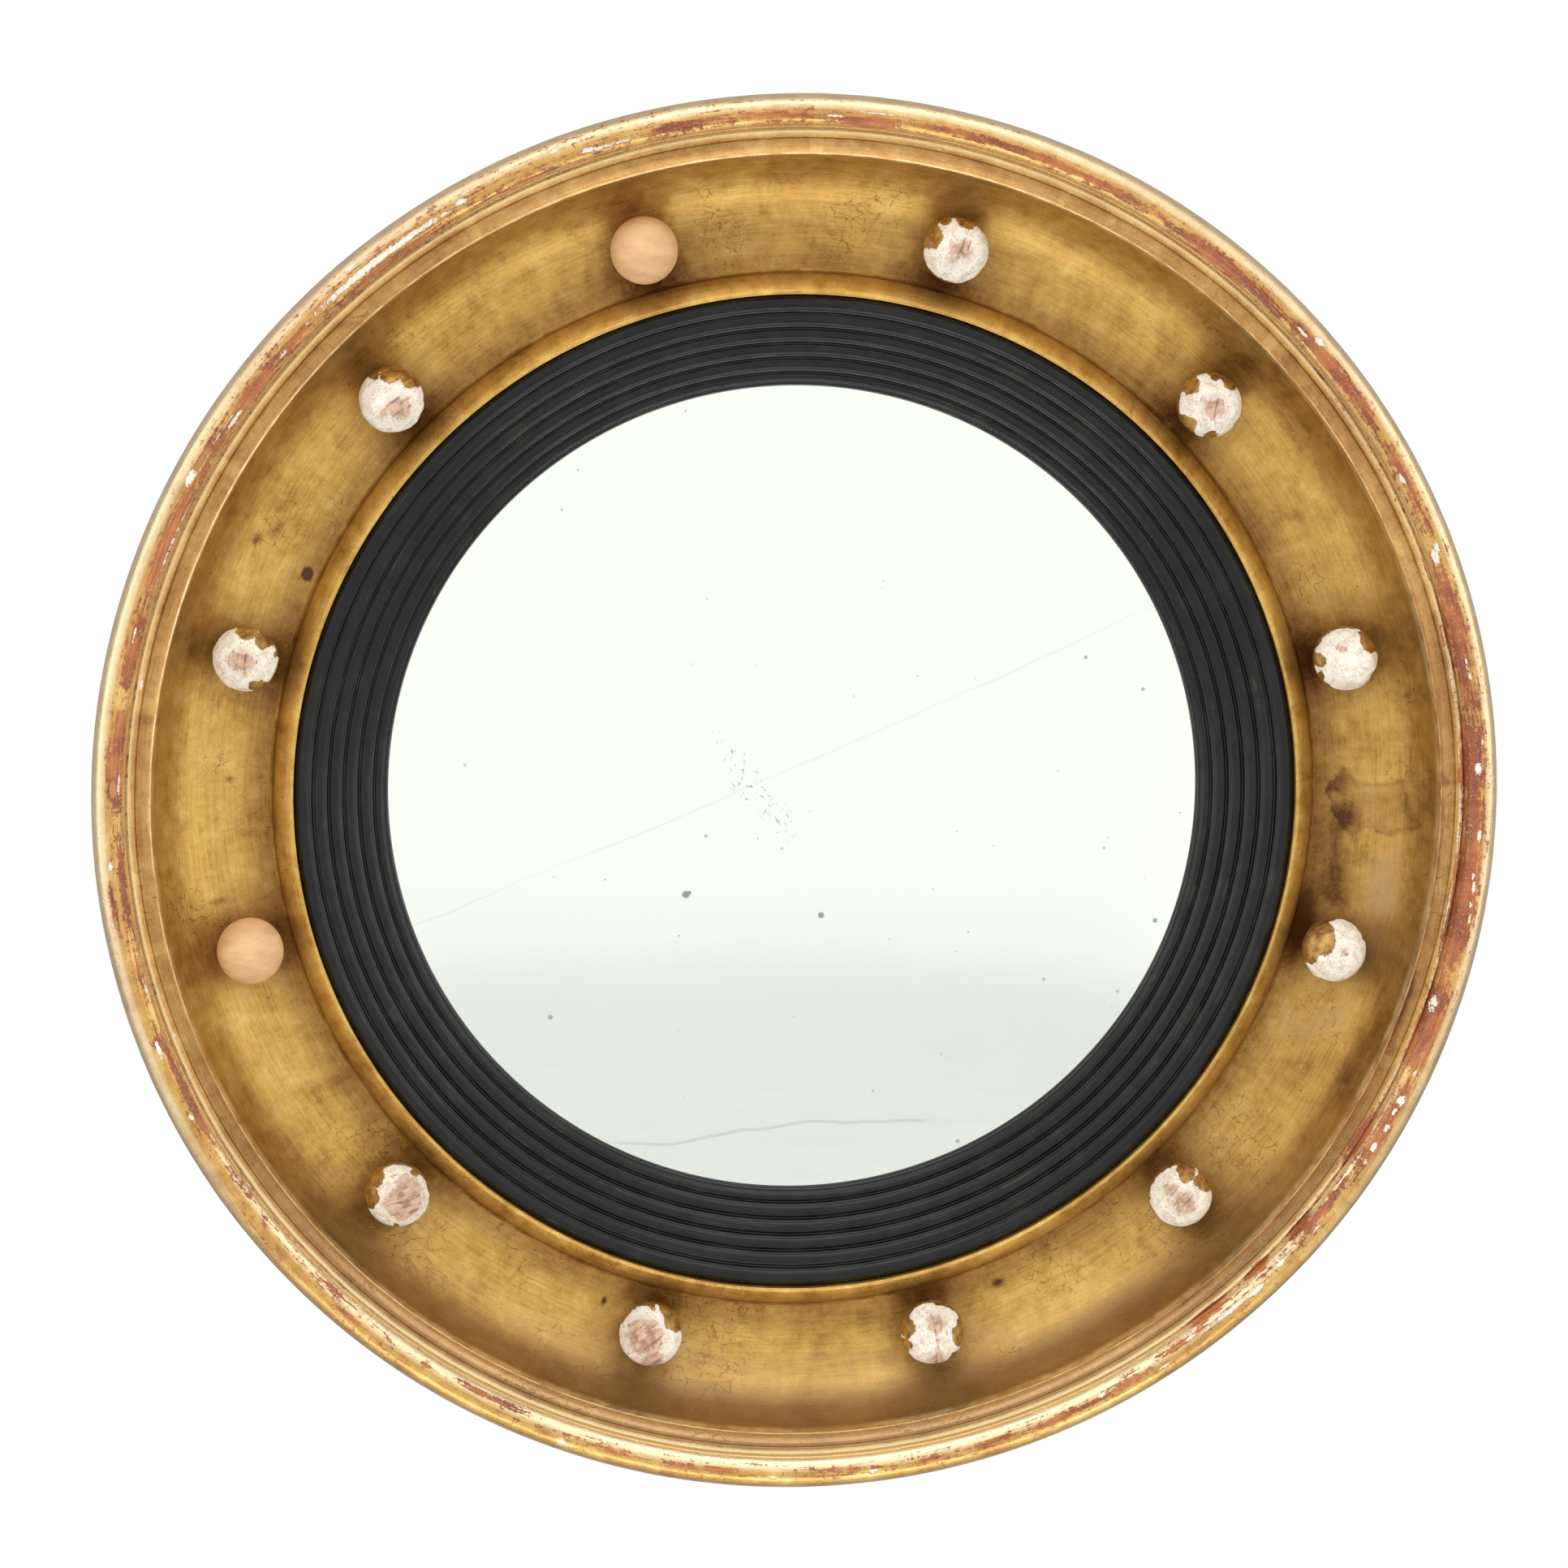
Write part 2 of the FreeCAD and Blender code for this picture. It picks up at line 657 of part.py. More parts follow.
board_screw = screw("board_screw", screw_top - size["board_recess"])
hanger_screw = screw("hanger_screw", screw_top - hanger_head_height)
SLOT_TURN = 37
nodes["backboard_screws"] = repeated("backboard_screws", board_screw, [
    (x, y, size["board_recess"], SLOT_TURN * number) for number, (x, y) in enumerate(board_screw_spots)
])
nodes["hanger_screws"] = repeated("hanger_screws", hanger_screw, [
    (x, y, hanger_head_height, SLOT_TURN * number) for number, (x, y) in enumerate(hanger_screw_spots)
])

# ---- strap hangers: drawn with the ring's axis along Y above the origin, the strap towards -X and
# Z from the backboard to the wall; the strap runs down and outwards from the axis ----
wire_radius = size["ring_wire_diameter"] / 2
knuckle_bore_radius = wire_radius + size["ring_play"]
knuckle_height = size["strap_thickness"] + size["ring_strap_gap"] + wire_radius
strap_half = size["strap_width"] / 2
ALONG_Y = Rotation(Vector(1, 0, 0), -90)


def rod_along_y(name, radius, half_length):
    rod = doc.addObject("Part::Cylinder", name)
    bind(rod, Radius=radius, Height=half_length * 2)
    place(rod, 0, -half_length, knuckle_height, ALONG_Y)
    return rod


def strap(name):
    plate = doc.addObject("Part::Box", f"{name}_plate")
    bind(plate, Length=size["strap_length"], Width=size["strap_width"], Height=size["strap_thickness"])
    place(plate, -size["strap_length"], -strap_half, 0)
    end = doc.addObject("Part::Cylinder", f"{name}_end")
    bind(end, Radius=strap_half, Height=size["strap_thickness"])
    place(end, -size["strap_length"], 0, 0)
    knuckle = rod_along_y(f"{name}_knuckle", knuckle_bore_radius + size["knuckle_wall"], strap_half)
    whole = doc.addObject("Part::MultiFuse", f"{name}_whole")
    whole.Shapes = [plate, end, knuckle]
    holes = [rod_along_y(f"{name}_knuckle_bore", knuckle_bore_radius, size["strap_width"])]
    for number in range(2):
        reach = size["strap_first_hole"] + size["strap_hole_pitch"] * number
        sink = doc.addObject("Part::Cone", f"{name}_sink_{number + 1}")
        depth = screw_head_radius - screw_shank_radius
        bind(sink, Radius1=screw_shank_radius + size["screw_play"],
             Radius2=screw_head_radius + size["screw_play"], Height=depth)
        place(sink, -reach, 0, size["strap_thickness"] - depth)
        holes.append(sink)
        bore = doc.addObject("Part::Cylinder", f"{name}_bore_{number + 1}")
        bind(bore, Radius=screw_shank_radius + size["screw_play"], Height=size["strap_thickness"] * 4)
        place(bore, -reach, 0, -(size["strap_thickness"] * 2))
        holes.append(bore)
    cut = doc.addObject("Part::Compound", f"{name}_holes")
    cut.Links = holes
    finished = doc.addObject("Part::Cut", name)
    finished.Base = whole
    finished.Tool = cut
    return finished


def d_ring(name):
    """Round wire swept along a D: the bar through the knuckle, two arms and a half-round bow."""
    reach = size["ring_inner_width"] / 2 + wire_radius
    corner = size["ring_corner_radius"]
    body = doc.addObject("PartDesign::Body", name)
    path = new_sketch(body, f"{name}_path", "XY_Plane", knuckle_height)
    draw_outline(path, [
        (0, corner - reach),
        (0, reach - corner, corner, 1),
        (-corner, reach),
        (-size["ring_arm_length"], reach, reach, 1),
        (-size["ring_arm_length"] - reach, 0, reach, 1),
        (-size["ring_arm_length"], -reach),
        (-corner, -reach, corner, 1),
    ])
    section = new_sketch(body, f"{name}_section", "XZ_Plane")
    draw_circle(section, 0, knuckle_height, wire_radius)
    sweep = body.newObject("PartDesign::AdditivePipe", f"{name}_sweep")
    sweep.Profile = section
    sweep.Spine = path
    body.Tip = sweep
    doc.recompute()
    return body


slant = math.radians(SIZES["hanger_slant"])
for side, sign in (("right", 1), ("left", -1)):
    pull = Vector(-sign * math.cos(slant), 0, math.sin(slant))
    axis = Vector(math.sin(slant), 0, sign * math.cos(slant))
    leaning = Rotation(pull, axis, Vector(0, 1, 0), "XYZ")
    for piece, node in ((strap, f"hanger_strap_{side}"), (d_ring, f"hanger_ring_{side}")):
        nodes[node] = piece(node)
        place(nodes[node], hanger_x * sign, -size["board_recess"], hanger_y, leaning)

# ---- build, test and write ----
doc.recompute()
for item in doc.Objects:
    if "Invalid" in item.State or "Error" in item.State:
        raise RuntimeError(f"{item.Label} did not build")
for name, item in nodes.items():
    if item.Shape.isNull() or not item.Shape.isValid() or not item.Shape.Solids:
        raise RuntimeError(f"{name} has no valid solid")

os.makedirs("parts", exist_ok=True)
for name, item in nodes.items():
    item.Shape.exportStep(f"parts/{name}.step")
    box = item.Shape.optimalBoundingBox()
    print(f"{name}: {len(item.Shape.Solids)} solid(s), volume {item.Shape.Volume / 1000:.3f} cm3, "
          f"x {box.XMin:.2f} to {box.XMax:.2f}, y {box.YMin:.2f} to {box.YMax:.2f}, "
          f"z {box.ZMin:.2f} to {box.ZMax:.2f}")
for name, value in (("lip height", lip_height), ("sight radius", sight_radius), ("glass radius", glass_radius),
                    ("ball height", ball_height), ("ball ring radius", ball_ring_radius),
                    ("shoulder foot", shoulder_foot), ("slip back height", slip_back_height)):
    print(f"{name} {value.number:.2f} mm")
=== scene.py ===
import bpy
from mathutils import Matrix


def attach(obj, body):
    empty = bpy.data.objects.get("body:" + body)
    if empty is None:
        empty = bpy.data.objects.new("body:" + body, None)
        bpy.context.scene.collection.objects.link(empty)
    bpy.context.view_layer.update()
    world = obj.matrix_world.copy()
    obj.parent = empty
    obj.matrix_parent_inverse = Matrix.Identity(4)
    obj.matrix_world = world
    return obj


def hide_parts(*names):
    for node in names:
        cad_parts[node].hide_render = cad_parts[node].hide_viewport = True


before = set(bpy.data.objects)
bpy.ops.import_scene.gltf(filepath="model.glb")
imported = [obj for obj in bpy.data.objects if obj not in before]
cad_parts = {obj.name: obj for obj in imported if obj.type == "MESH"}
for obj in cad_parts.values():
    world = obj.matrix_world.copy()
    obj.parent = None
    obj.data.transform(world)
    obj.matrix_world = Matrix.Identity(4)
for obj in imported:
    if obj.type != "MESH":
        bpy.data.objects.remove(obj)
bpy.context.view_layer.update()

import math

import bpy
import numpy as np
from mathutils import Matrix, Vector

# ---- Studio ----
# A pale floor well below the mirror, broad soft lights above, below and in front of it, and weaker ones at
# its sides and behind. The camera stands a little to the left of the mirror and above its centre.
scene = bpy.context.scene
scene.view_settings.view_transform = "Standard"
scene.view_settings.look = "None"


class Wire:
    """A shader socket that takes part in Python expressions: each operator adds the Math node it names."""

    def __init__(self, finish, socket):
        self.finish, self.socket = finish, socket

    def math(self, operation, *others):
        return self.finish.add("ShaderNodeMath", dict(operation=operation), [self, *others])

    def __add__(self, other):
        return self.math("ADD", other)

    def __sub__(self, other):
        return self.math("SUBTRACT", other)

    def __rsub__(self, other):
        return self.math("MULTIPLY_ADD", -1.0, other)

    def __mul__(self, other):
        return self.math("MULTIPLY", other)

    def __truediv__(self, other):
        return self.math("DIVIDE", other)

    __radd__, __rmul__ = __add__, __mul__

    def step(self, low, high, start=0.0, end=1.0):
        """Smooth ramp from start to end as the value goes from low to high."""
        return self.finish.add("ShaderNodeMapRange", dict(interpolation_type="SMOOTHSTEP"),
                               [self, low, high, start, end])


class Finish:
    """A material, or the world, under construction. add() makes one node and returns its output."""

    def __init__(self, owner):
        self.owner = owner
        owner.use_nodes = True
        self.tree = owner.node_tree
        self.tree.nodes.clear()

    def add(self, kind, settings=None, inputs=(), output=0):
        """Settings are node properties, set first; inputs are values or wires, in order or by socket name."""
        node = self.tree.nodes.new(kind)
        for key, value in (settings or {}).items():
            setattr(node, key, value)
        pairs = inputs.items() if isinstance(inputs, dict) else enumerate(inputs)
        for key, value in pairs:
            if isinstance(value, Wire):
                self.tree.links.new(value.socket, node.inputs[key])
            elif value is not None:
                node.inputs[key].default_value = value
        return Wire(self, node.outputs[output]) if node.outputs else None

    def colour(self, red, green, blue):
        """Linear colour of sRGB values from 0 to 255."""
        return tuple(((value / 255 + 0.055) / 1.055) ** 2.4 if value > 10 else value / 3294.6
                     for value in (red, green, blue)) + (1,)

    def mix(self, factor, first, second, blend="MIX"):
        """Colour mix of first and second by factor. Each is a wire, three sRGB values or a linear colour."""
        node = self.tree.nodes.new("ShaderNodeMix")
        node.data_type, node.blend_type, node.clamp_factor = "RGBA", blend, True
        for socket, value in ((node.inputs[0], factor), (node.inputs[6], first), (node.inputs[7], second)):
            if isinstance(value, Wire):
                self.tree.links.new(value.socket, socket)
            elif isinstance(value, tuple) and len(value) == 3:
                socket.default_value = self.colour(*value)
            else:
                socket.default_value = value
        return Wire(self, node.outputs[2])

    def place(self):
        """The point's place in the piece's own frame, in metres."""
        return self.add("ShaderNodeTexCoord", output=3)

    def vector(self, x, y, z):
        return self.add("ShaderNodeCombineXYZ", None, [x, y, z])

    def split(self, vector):
        node = self.tree.nodes.new("ShaderNodeSeparateXYZ")
        self.tree.links.new(vector.socket, node.inputs[0])
        return [Wire(self, node.outputs[axis]) for axis in range(3)]

    def noise(self, vector, scale, detail=3.0, roughness=0.55, distortion=0.0):
        return self.add("ShaderNodeTexNoise", dict(noise_dimensions="3D"), dict(
            Vector=vector, Scale=scale, Detail=detail, Roughness=roughness, Distortion=distortion))

    def attribute(self, name):
        return self.add("ShaderNodeAttribute", dict(attribute_name=name), output=2)

    def surface(self, **sockets):
        """The Principled shader and the output; returns the material."""
        shader = self.add("ShaderNodeBsdfPrincipled", None, {
            key.replace("_", " "): value for key, value in sockets.items()})
        self.add("ShaderNodeOutputMaterial", None, [shader])
        return self.owner

    def bump(self, height, distance, strength=1.0):
        return self.add("ShaderNodeBump", None, dict(Strength=strength, Distance=distance, Height=height))


# What the mirror and the gilding reflect: white in front, grey behind, a little brighter from the walls and
# darker from below. The camera itself sees plain white.
studio = Finish(bpy.data.worlds.new("studio"))
scene.world = studio.owner
_, toward_y, toward_z = studio.split(studio.add("ShaderNodeTexCoord"))
ahead = toward_y * -1.0
walls = ahead.step(-0.05, 0.30) * (1.0 - ahead.step(0.70, 0.90)) * toward_z.step(-0.75, 0.45, 0.15, 0.32)
table = toward_z.step(-0.44, -0.20, 0.15, 0.0)
room = 0.40 + ahead.step(0.05, 0.40) * 0.60 + walls - table
seen = studio.add("ShaderNodeLightPath")
backdrop = room + seen * (1.0 - room)
studio.add("ShaderNodeOutputWorld", None, [studio.add("ShaderNodeBackground", None, dict(
    Color=studio.mix(seen, (0.99, 1.0, 0.975, 1.0), (1.0, 1.0, 1.0, 1.0)), Strength=backdrop))])


def softbox(name, place, width, height, power, mirrored=True):
    """Area light at place, turned to face the mirror's centre; mirrored says whether reflections show it."""
    light = bpy.data.lights.new(name, "AREA")
    light.shape, light.size, light.size_y, light.energy = "RECTANGLE", width, height, power
    lamp = bpy.data.objects.new(name, light)
    lamp.visible_glossy = mirrored
    lamp.location = place
    lamp.rotation_euler = (Vector((0, -0.04, 0)) - Vector(place)).to_track_quat("-Z", "Y").to_euler()
    scene.collection.objects.link(lamp)


softbox("light_above", (0.1, -0.9, 1.7), 1.6, 0.7, 4.5)
softbox("light_below", (0.0, -0.50, -0.88), 1.3, 0.40, 4.0)
softbox("light_right", (1.7, -0.7, 0.25), 0.6, 1.5, 2.5)
softbox("light_left", (-1.7, -0.6, 0.2), 0.5, 1.5, 2.5)
softbox("light_front", (-0.3, -2.7, 1.0), 2.2, 1.4, 14.0, mirrored=False)
softbox("light_behind", (0.3, 1.8, 0.8), 1.4, 1.0, 7.0, mirrored=False)

# The floor is a disc that fades out over its outer metre.
FLOOR_DROP, FLOOR_RADIUS, FLOOR_FORWARD, FLOOR_CORNERS, FLOOR_FADE = 0.9, 2.1, 0.7, 96, 1.0
turn = np.linspace(0, 2 * np.pi, FLOOR_CORNERS + 1)[:-1]
floor_mesh = bpy.data.meshes.new("floor")
floor_mesh.from_pydata(np.column_stack((
    FLOOR_RADIUS * np.cos(turn), FLOOR_RADIUS * np.sin(turn) - FLOOR_FORWARD,
    np.full(FLOOR_CORNERS, -FLOOR_DROP))).tolist(), [], [list(range(FLOOR_CORNERS))])
floor_paint = Finish(bpy.data.materials.new("floor_paint"))
where = floor_paint.place()
floor_tone = floor_paint.noise(where, 9.0)
across_x, across_y, _ = floor_paint.split(where)
out = (across_x * across_x + (across_y + FLOOR_FORWARD) * (across_y + FLOOR_FORWARD)).math("SQRT")
floor_mesh.materials.append(floor_paint.surface(
    Base_Color=floor_paint.mix(floor_tone, (0.80, 0.81, 0.80, 1), (0.86, 0.87, 0.86, 1)), Roughness=0.7,
    Alpha=out.step(FLOOR_RADIUS - FLOOR_FADE, FLOOR_RADIUS, 1.0, 0.0)))
floor = bpy.data.objects.new("floor", floor_mesh)
scene.collection.objects.link(floor)

# The view is from 4.4 degrees left and 8.7 degrees above, 1.6 m from a point near the front of the frame.
AZIMUTH, ELEVATION, ROLL = (math.radians(angle) for angle in (-4.44, 8.66, 0.33))
AIM, DISTANCE = Vector((0, -0.046, 0)), 1.6
back = Vector((math.sin(AZIMUTH) * math.cos(ELEVATION), -math.cos(AZIMUTH) * math.cos(ELEVATION),
               math.sin(ELEVATION)))
right = Vector((math.cos(AZIMUTH), math.sin(AZIMUTH), 0))
turned = Matrix((right, back.cross(right), back)).transposed() @ Matrix.Rotation(ROLL, 3, "Z")
lens = bpy.data.cameras.new("camera")
lens.lens, lens.sensor_width, lens.shift_x, lens.shift_y = 95.55, 36.0, -0.0097, 0.0105
camera = bpy.data.objects.new("camera", lens)
camera.matrix_world = Matrix.Translation(AIM + back * DISTANCE) @ turned.to_4x4()
scene.collection.objects.link(camera)
scene.camera = camera

# ---- Gilded front ring: the torus at the rim ----
# Turned pine under gesso, red bole and gold leaf. It carries most of the wear: the leaf is rubbed through
# to the bole along the crest, and chips show white gesso or wood. Glued to the ring behind it.
MM = 0.001


def lattice(turns, widths, cells_round, cells_across, seed):
    """Smooth random field from -1 to 1. Random heights on a lattice that closes around the ring are
    blended between neighbours by the curve 3t^2 - 2t^3; turns and widths run from 0 to 1."""
    heights = np.random.default_rng(seed).uniform(-1, 1, (cells_round, cells_across + 2))
    u, v = turns % 1.0 * cells_round, np.clip(widths, 0, 1) * cells_across
    i, j = np.floor(u).astype(int), np.floor(v).astype(int)
    s, t = u - i, v - j
    s, t = s * s * (3 - 2 * s), t * t * (3 - 2 * t)
    i, after = i % cells_round, (i + 1) % cells_round
    return ((heights[i, j] * (1 - s) + heights[after, j] * s) * (1 - t)
            + (heights[i, j + 1] * (1 - s) + heights[after, j + 1] * s) * t)


def rough(turns, widths, cells_round, cells_across, seed, layers=3):
    """Sum of lattices, each with twice the cells and half the height of the one before, over their total."""
    total = sum(lattice(turns, widths, cells_round * 2 ** k, cells_across * 2 ** k, seed + k) / 2 ** k
                for k in range(layers))
    return total / sum(0.5 ** k for k in range(layers))


def moulding(corners, spacing):
    """Points (radius, depth) and running length of an outline, in mm. A corner (radius, depth) starts a
    straight run and (radius, depth, curve, turn) an arc of that radius: +1 bends left, -1 bends right,
    2 bends left the long way. Each run is divided evenly, about one point per spacing."""
    runs = []
    for corner, following in zip(corners, corners[1:]):
        start, stop = np.array(corner[:2], float), np.array(following[:2], float)
        chord = stop - start
        length = np.hypot(*chord)
        if len(corner) == 2:
            count = max(2, round(length / spacing))
            share = np.linspace(0, 1, count + 1)[:-1, None]
            runs.append(start + chord * share)
            continue
        curve, bend = corner[2:]
        rise = math.sqrt(max(curve ** 2 - length ** 2 / 4, 0))
        across = np.array((-chord[1], chord[0])) / length
        centre = (start + stop) / 2 + across * (rise if bend == 1 else -rise)
        first = math.atan2(*(start - centre)[::-1])
        sweep = (math.atan2(*(stop - centre)[::-1]) - first) % (2 * math.pi)
        if bend == -1:
            sweep -= 2 * math.pi
        count = max(3, round(abs(sweep) * curve / spacing))
        angles = first + sweep * np.linspace(0, 1, count + 1)[:-1]
        runs.append(centre + curve * np.column_stack((np.cos(angles), np.sin(angles))))
    points = np.vstack(runs + [np.array([corners[-1][:2]], float)])
    length = np.concatenate(([0], np.cumsum(np.hypot(*np.diff(points, axis=0).T))))
    return points[:, 0], points[:, 1], length


def surface_mesh(name, x, y, z, fields, material, node):
    """Mesh of the grid of points (x, y, z), in mm, one row per step around a closed ring, joined to its
    neighbours by quads that face along (step around) x (step across). Fields become attributes of the
    points. The piece stands for the frame's node."""
    rows, columns = x.shape
    vertices = np.stack((x, y, z), -1).reshape(-1, 3) * MM
    i = np.arange(rows)[:, None]
    j = np.arange(columns - 1)[None, :]
    after = (i + 1) % rows
    quads = np.stack((i * columns + j, after * columns + j, after * columns + j + 1, i * columns + j + 1),
                     -1).reshape(-1, 4)
    mesh = bpy.data.meshes.new(name)
    mesh.vertices.add(len(vertices))
    mesh.vertices.foreach_set("co", vertices.ravel())
    mesh.loops.add(quads.size)
    mesh.loops.foreach_set("vertex_index", quads.ravel())
    mesh.polygons.add(len(quads))
    mesh.polygons.foreach_set("loop_start", np.arange(len(quads)) * 4)
    mesh.polygons.foreach_set("use_smooth", np.ones(len(quads), bool))
    mesh.update(calc_edges=True)
    for key, values in fields.items():
        layer = mesh.attributes.new(key, "FLOAT", "POINT")
        layer.data.foreach_set("value", np.broadcast_to(values, x.shape).astype(np.float32).ravel())
    mesh.materials.append(material)
    piece = bpy.data.objects.new(name, mesh)
    scene.collection.objects.link(piece)
    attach(piece, "mirror")
    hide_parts(node)


def marks(angle, across, entries):
    """Greatest of the oval marks (centre angle, centre across, half length in degrees, half width,
    strength) at each point: full in the middle, half at its outline and 0 at 1.6 times its size."""
    degrees = np.degrees(angle)
    field = np.zeros(np.broadcast_shapes(angle.shape, across.shape))
    for centre, middle, half_length, half_width, strength in entries:
        apart = (degrees - centre + 180) % 360 - 180
        reach = np.sqrt((apart / half_length) ** 2 + ((across - middle) / half_width) ** 2)
        field = np.maximum(field, strength * np.clip((1.6 - reach) / 1.1, 0, 1))
    return field


# Where the leaf is rubbed through to the bole: angle, radius, half length in degrees, half width in mm, and
# strength. The first rows are broad and weak, and the others are single streaks.
RUBBED = (
    (2, 258.6, 44, 4.6, 0.42), (-30, 258.2, 30, 4, 0.30), (62, 259, 30, 3, 0.30),
    (165, 258.6, 34, 3.4, 0.32), (128, 260, 24, 4.4, 0.34), (-150, 258, 34, 3.2, 0.26),
    (-80, 260.4, 40, 2.6, 0.28), (100, 259.4, 14, 3.4, 0.34), (104, 266.2, 30, 0.9, 0.3),
    (175.5, 258.6, 4.3, 2.7, 1), (166, 258.4, 3.6, 2.3, 1), (156, 258.6, 5.5, 2.6, 0.85),
    (148, 259, 3, 2.8, 0.8), (140.5, 259, 5.5, 2.6, 0.8), (127, 256.8, 7, 1.6, 0.75),
    (114, 257.4, 5, 1.3, 0.6), (100.4, 259.8, 2.6, 1.8, 1), (93, 259.8, 3.6, 1.2, 0.8),
    (85, 258.2, 2.6, 2, 1), (71, 259.6, 12, 1.3, 0.95), (52, 258.6, 6, 2.3, 1),
    (39, 259.6, 6, 2.4, 0.95), (28, 260, 5, 1.8, 0.8), (14, 258, 8, 3.4, 0.85),
    (3, 257.6, 6, 4.2, 0.95), (-8, 257.8, 7, 4.3, 1), (-19, 257.6, 5, 4.2, 0.95),
    (-29, 258.8, 5, 2.6, 0.85), (-31, 253.9, 2.7, 2, 1), (-38, 257.8, 4, 1.6, 0.9),
    (-40.6, 255.9, 1.8, 1.4, 1), (-45.6, 255.2, 1.2, 1.3, 1), (-51.4, 255.6, 2, 1.6, 0.9),
    (-55, 258.2, 2.6, 1.2, 0.8), (-61, 260.2, 2.6, 1.5, 0.9), (-66, 260.4, 4.5, 1.5, 0.85),
    (-73, 260.2, 3.5, 1.1, 0.75), (-78.8, 260.7, 1.8, 0.9, 0.85), (-86.5, 259.8, 3, 0.9, 0.75),
    (-96.8, 260.4, 1.8, 1.1, 0.9), (-100, 260.9, 1.8, 0.9, 0.85), (-107, 260, 4, 0.7, 0.6),
    (-117.5, 257.9, 3.4, 1, 0.85), (-123.9, 258.8, 0.4, 1.2, 1.1), (-130.6, 261.2, 2.6, 0.9, 0.8),
    (-134, 257.4, 2.5, 0.9, 0.7), (-141, 263, 4, 0.7, 0.55), (-146, 257.1, 2.5, 0.8, 0.75),
    (-155.5, 257.4, 5.5, 1.2, 0.95), (-160.2, 259.6, 0.9, 2, 0.9), (-166.5, 257.6, 3, 0.9, 0.75),
    (-171.8, 262.2, 1.7, 1.1, 0.8), (-174, 257.6, 4.5, 1.3, 0.9),
)
# Chips down to the gesso: the same five numbers.
CHIPPED = (
    (127.2, 260.1, 6.4, 1.2, 1), (129.8, 264.4, 0.6, 0.6, 1), (119.4, 261, 0.5, 0.9, 1),
    (118.7, 263.4, 0.5, 0.5, 0.9), (110.8, 263.6, 0.5, 0.6, 1), (108.2, 259.8, 0.6, 0.6, 0.9),
    (106.6, 258.9, 2.4, 0.5, 0.85), (151.2, 260.8, 0.7, 1.3, 1), (147.5, 259.9, 4, 0.3, 0.9),
    (145.2, 258, 1, 0.5, 0.95), (138.6, 258.6, 0.7, 0.5, 0.9), (165, 258.9, 0.9, 0.4, 0.8),
    (157, 256.6, 4, 0.4, 0.7), (177.6, 257.2, 0.8, 0.4, 1), (169, 252.9, 0.4, 0.5, 1),
    (87.8, 259.8, 0.8, 0.5, 1), (84.5, 261.8, 1.6, 0.4, 0.8), (44, 259.7, 0.6, 0.7, 1),
    (42.4, 262.2, 0.5, 1, 1), (28.9, 258.7, 0.5, 0.8, 1), (22.5, 260.2, 0.5, 1, 1),
    (21.7, 258.4, 0.7, 1.3, 1), (12.2, 259.3, 0.6, 0.4, 1), (11.1, 259.6, 0.3, 0.6, 1),
    (5.4, 261.5, 0.3, 0.5, 0.9), (3.1, 259.4, 0.5, 1.3, 1.05), (-2.6, 260.4, 0.5, 0.7, 1.05),
    (-6.1, 259.8, 0.3, 0.6, 1), (-7, 260.5, 0.5, 0.6, 1), (-8.6, 260.6, 0.4, 0.5, 0.95),
    (-9.7, 261, 0.5, 0.4, 0.95), (-17.6, 256.4, 0.8, 1.3, 0.8), (-23.8, 259.6, 0.3, 0.5, 1),
    (-26.4, 259.7, 0.5, 1.6, 1.05), (-27.5, 259.4, 0.4, 0.7, 1), (-29, 260, 0.4, 1, 1),
    (-31, 259.6, 0.4, 1, 1.05), (-32.5, 259.9, 0.3, 0.6, 0.95), (-39.6, 260.2, 0.4, 0.5, 1),
    (-43.9, 259, 0.5, 0.8, 1.05), (-47, 260.2, 1, 0.8, 1), (-49.8, 259.6, 2.4, 0.8, 1),
    (-52.3, 259.4, 0.6, 0.4, 0.9), (-54, 258.4, 0.5, 0.6, 1), (-57.1, 262.1, 0.7, 0.7, 0.8),
    (-63, 259.5, 0.4, 0.8, 0.95), (-83.7, 262, 0.5, 0.9, 0.9), (-92.3, 262.6, 0.4, 0.5, 0.9),
    (-110.6, 263.2, 0.45, 0.9, 1.05), (-147, 257.6, 0.3, 0.5, 0.95), (-153.3, 259.6, 0.3, 0.8, 1.05),
    (-159.7, 260, 0.8, 0.8, 1), (-175.6, 261.2, 0.35, 0.9, 1), (-164.8, 257, 0.5, 0.4, 0.8),
    (-2, 253.4, 3, 0.25, 0.75), (-9.5, 253.2, 1.8, 0.25, 0.85), (4, 253.3, 1, 0.25, 0.8),
    (11, 253.2, 1.2, 0.25, 0.75), (-60, 254.4, 4, 0.25, 0.6), (-149.8, 269.9, 0.7, 0.5, 1),
    (-160.2, 253, 0.7, 0.3, 0.85),
)
# Chips that go down to the wood.
TO_WOOD = ((177.9, 259.2, 1.1, 1.7, 1), (149.3, 260.4, 1.8, 1.4, 0.9), (101.6, 259.4, 1.4, 1, 0.6))
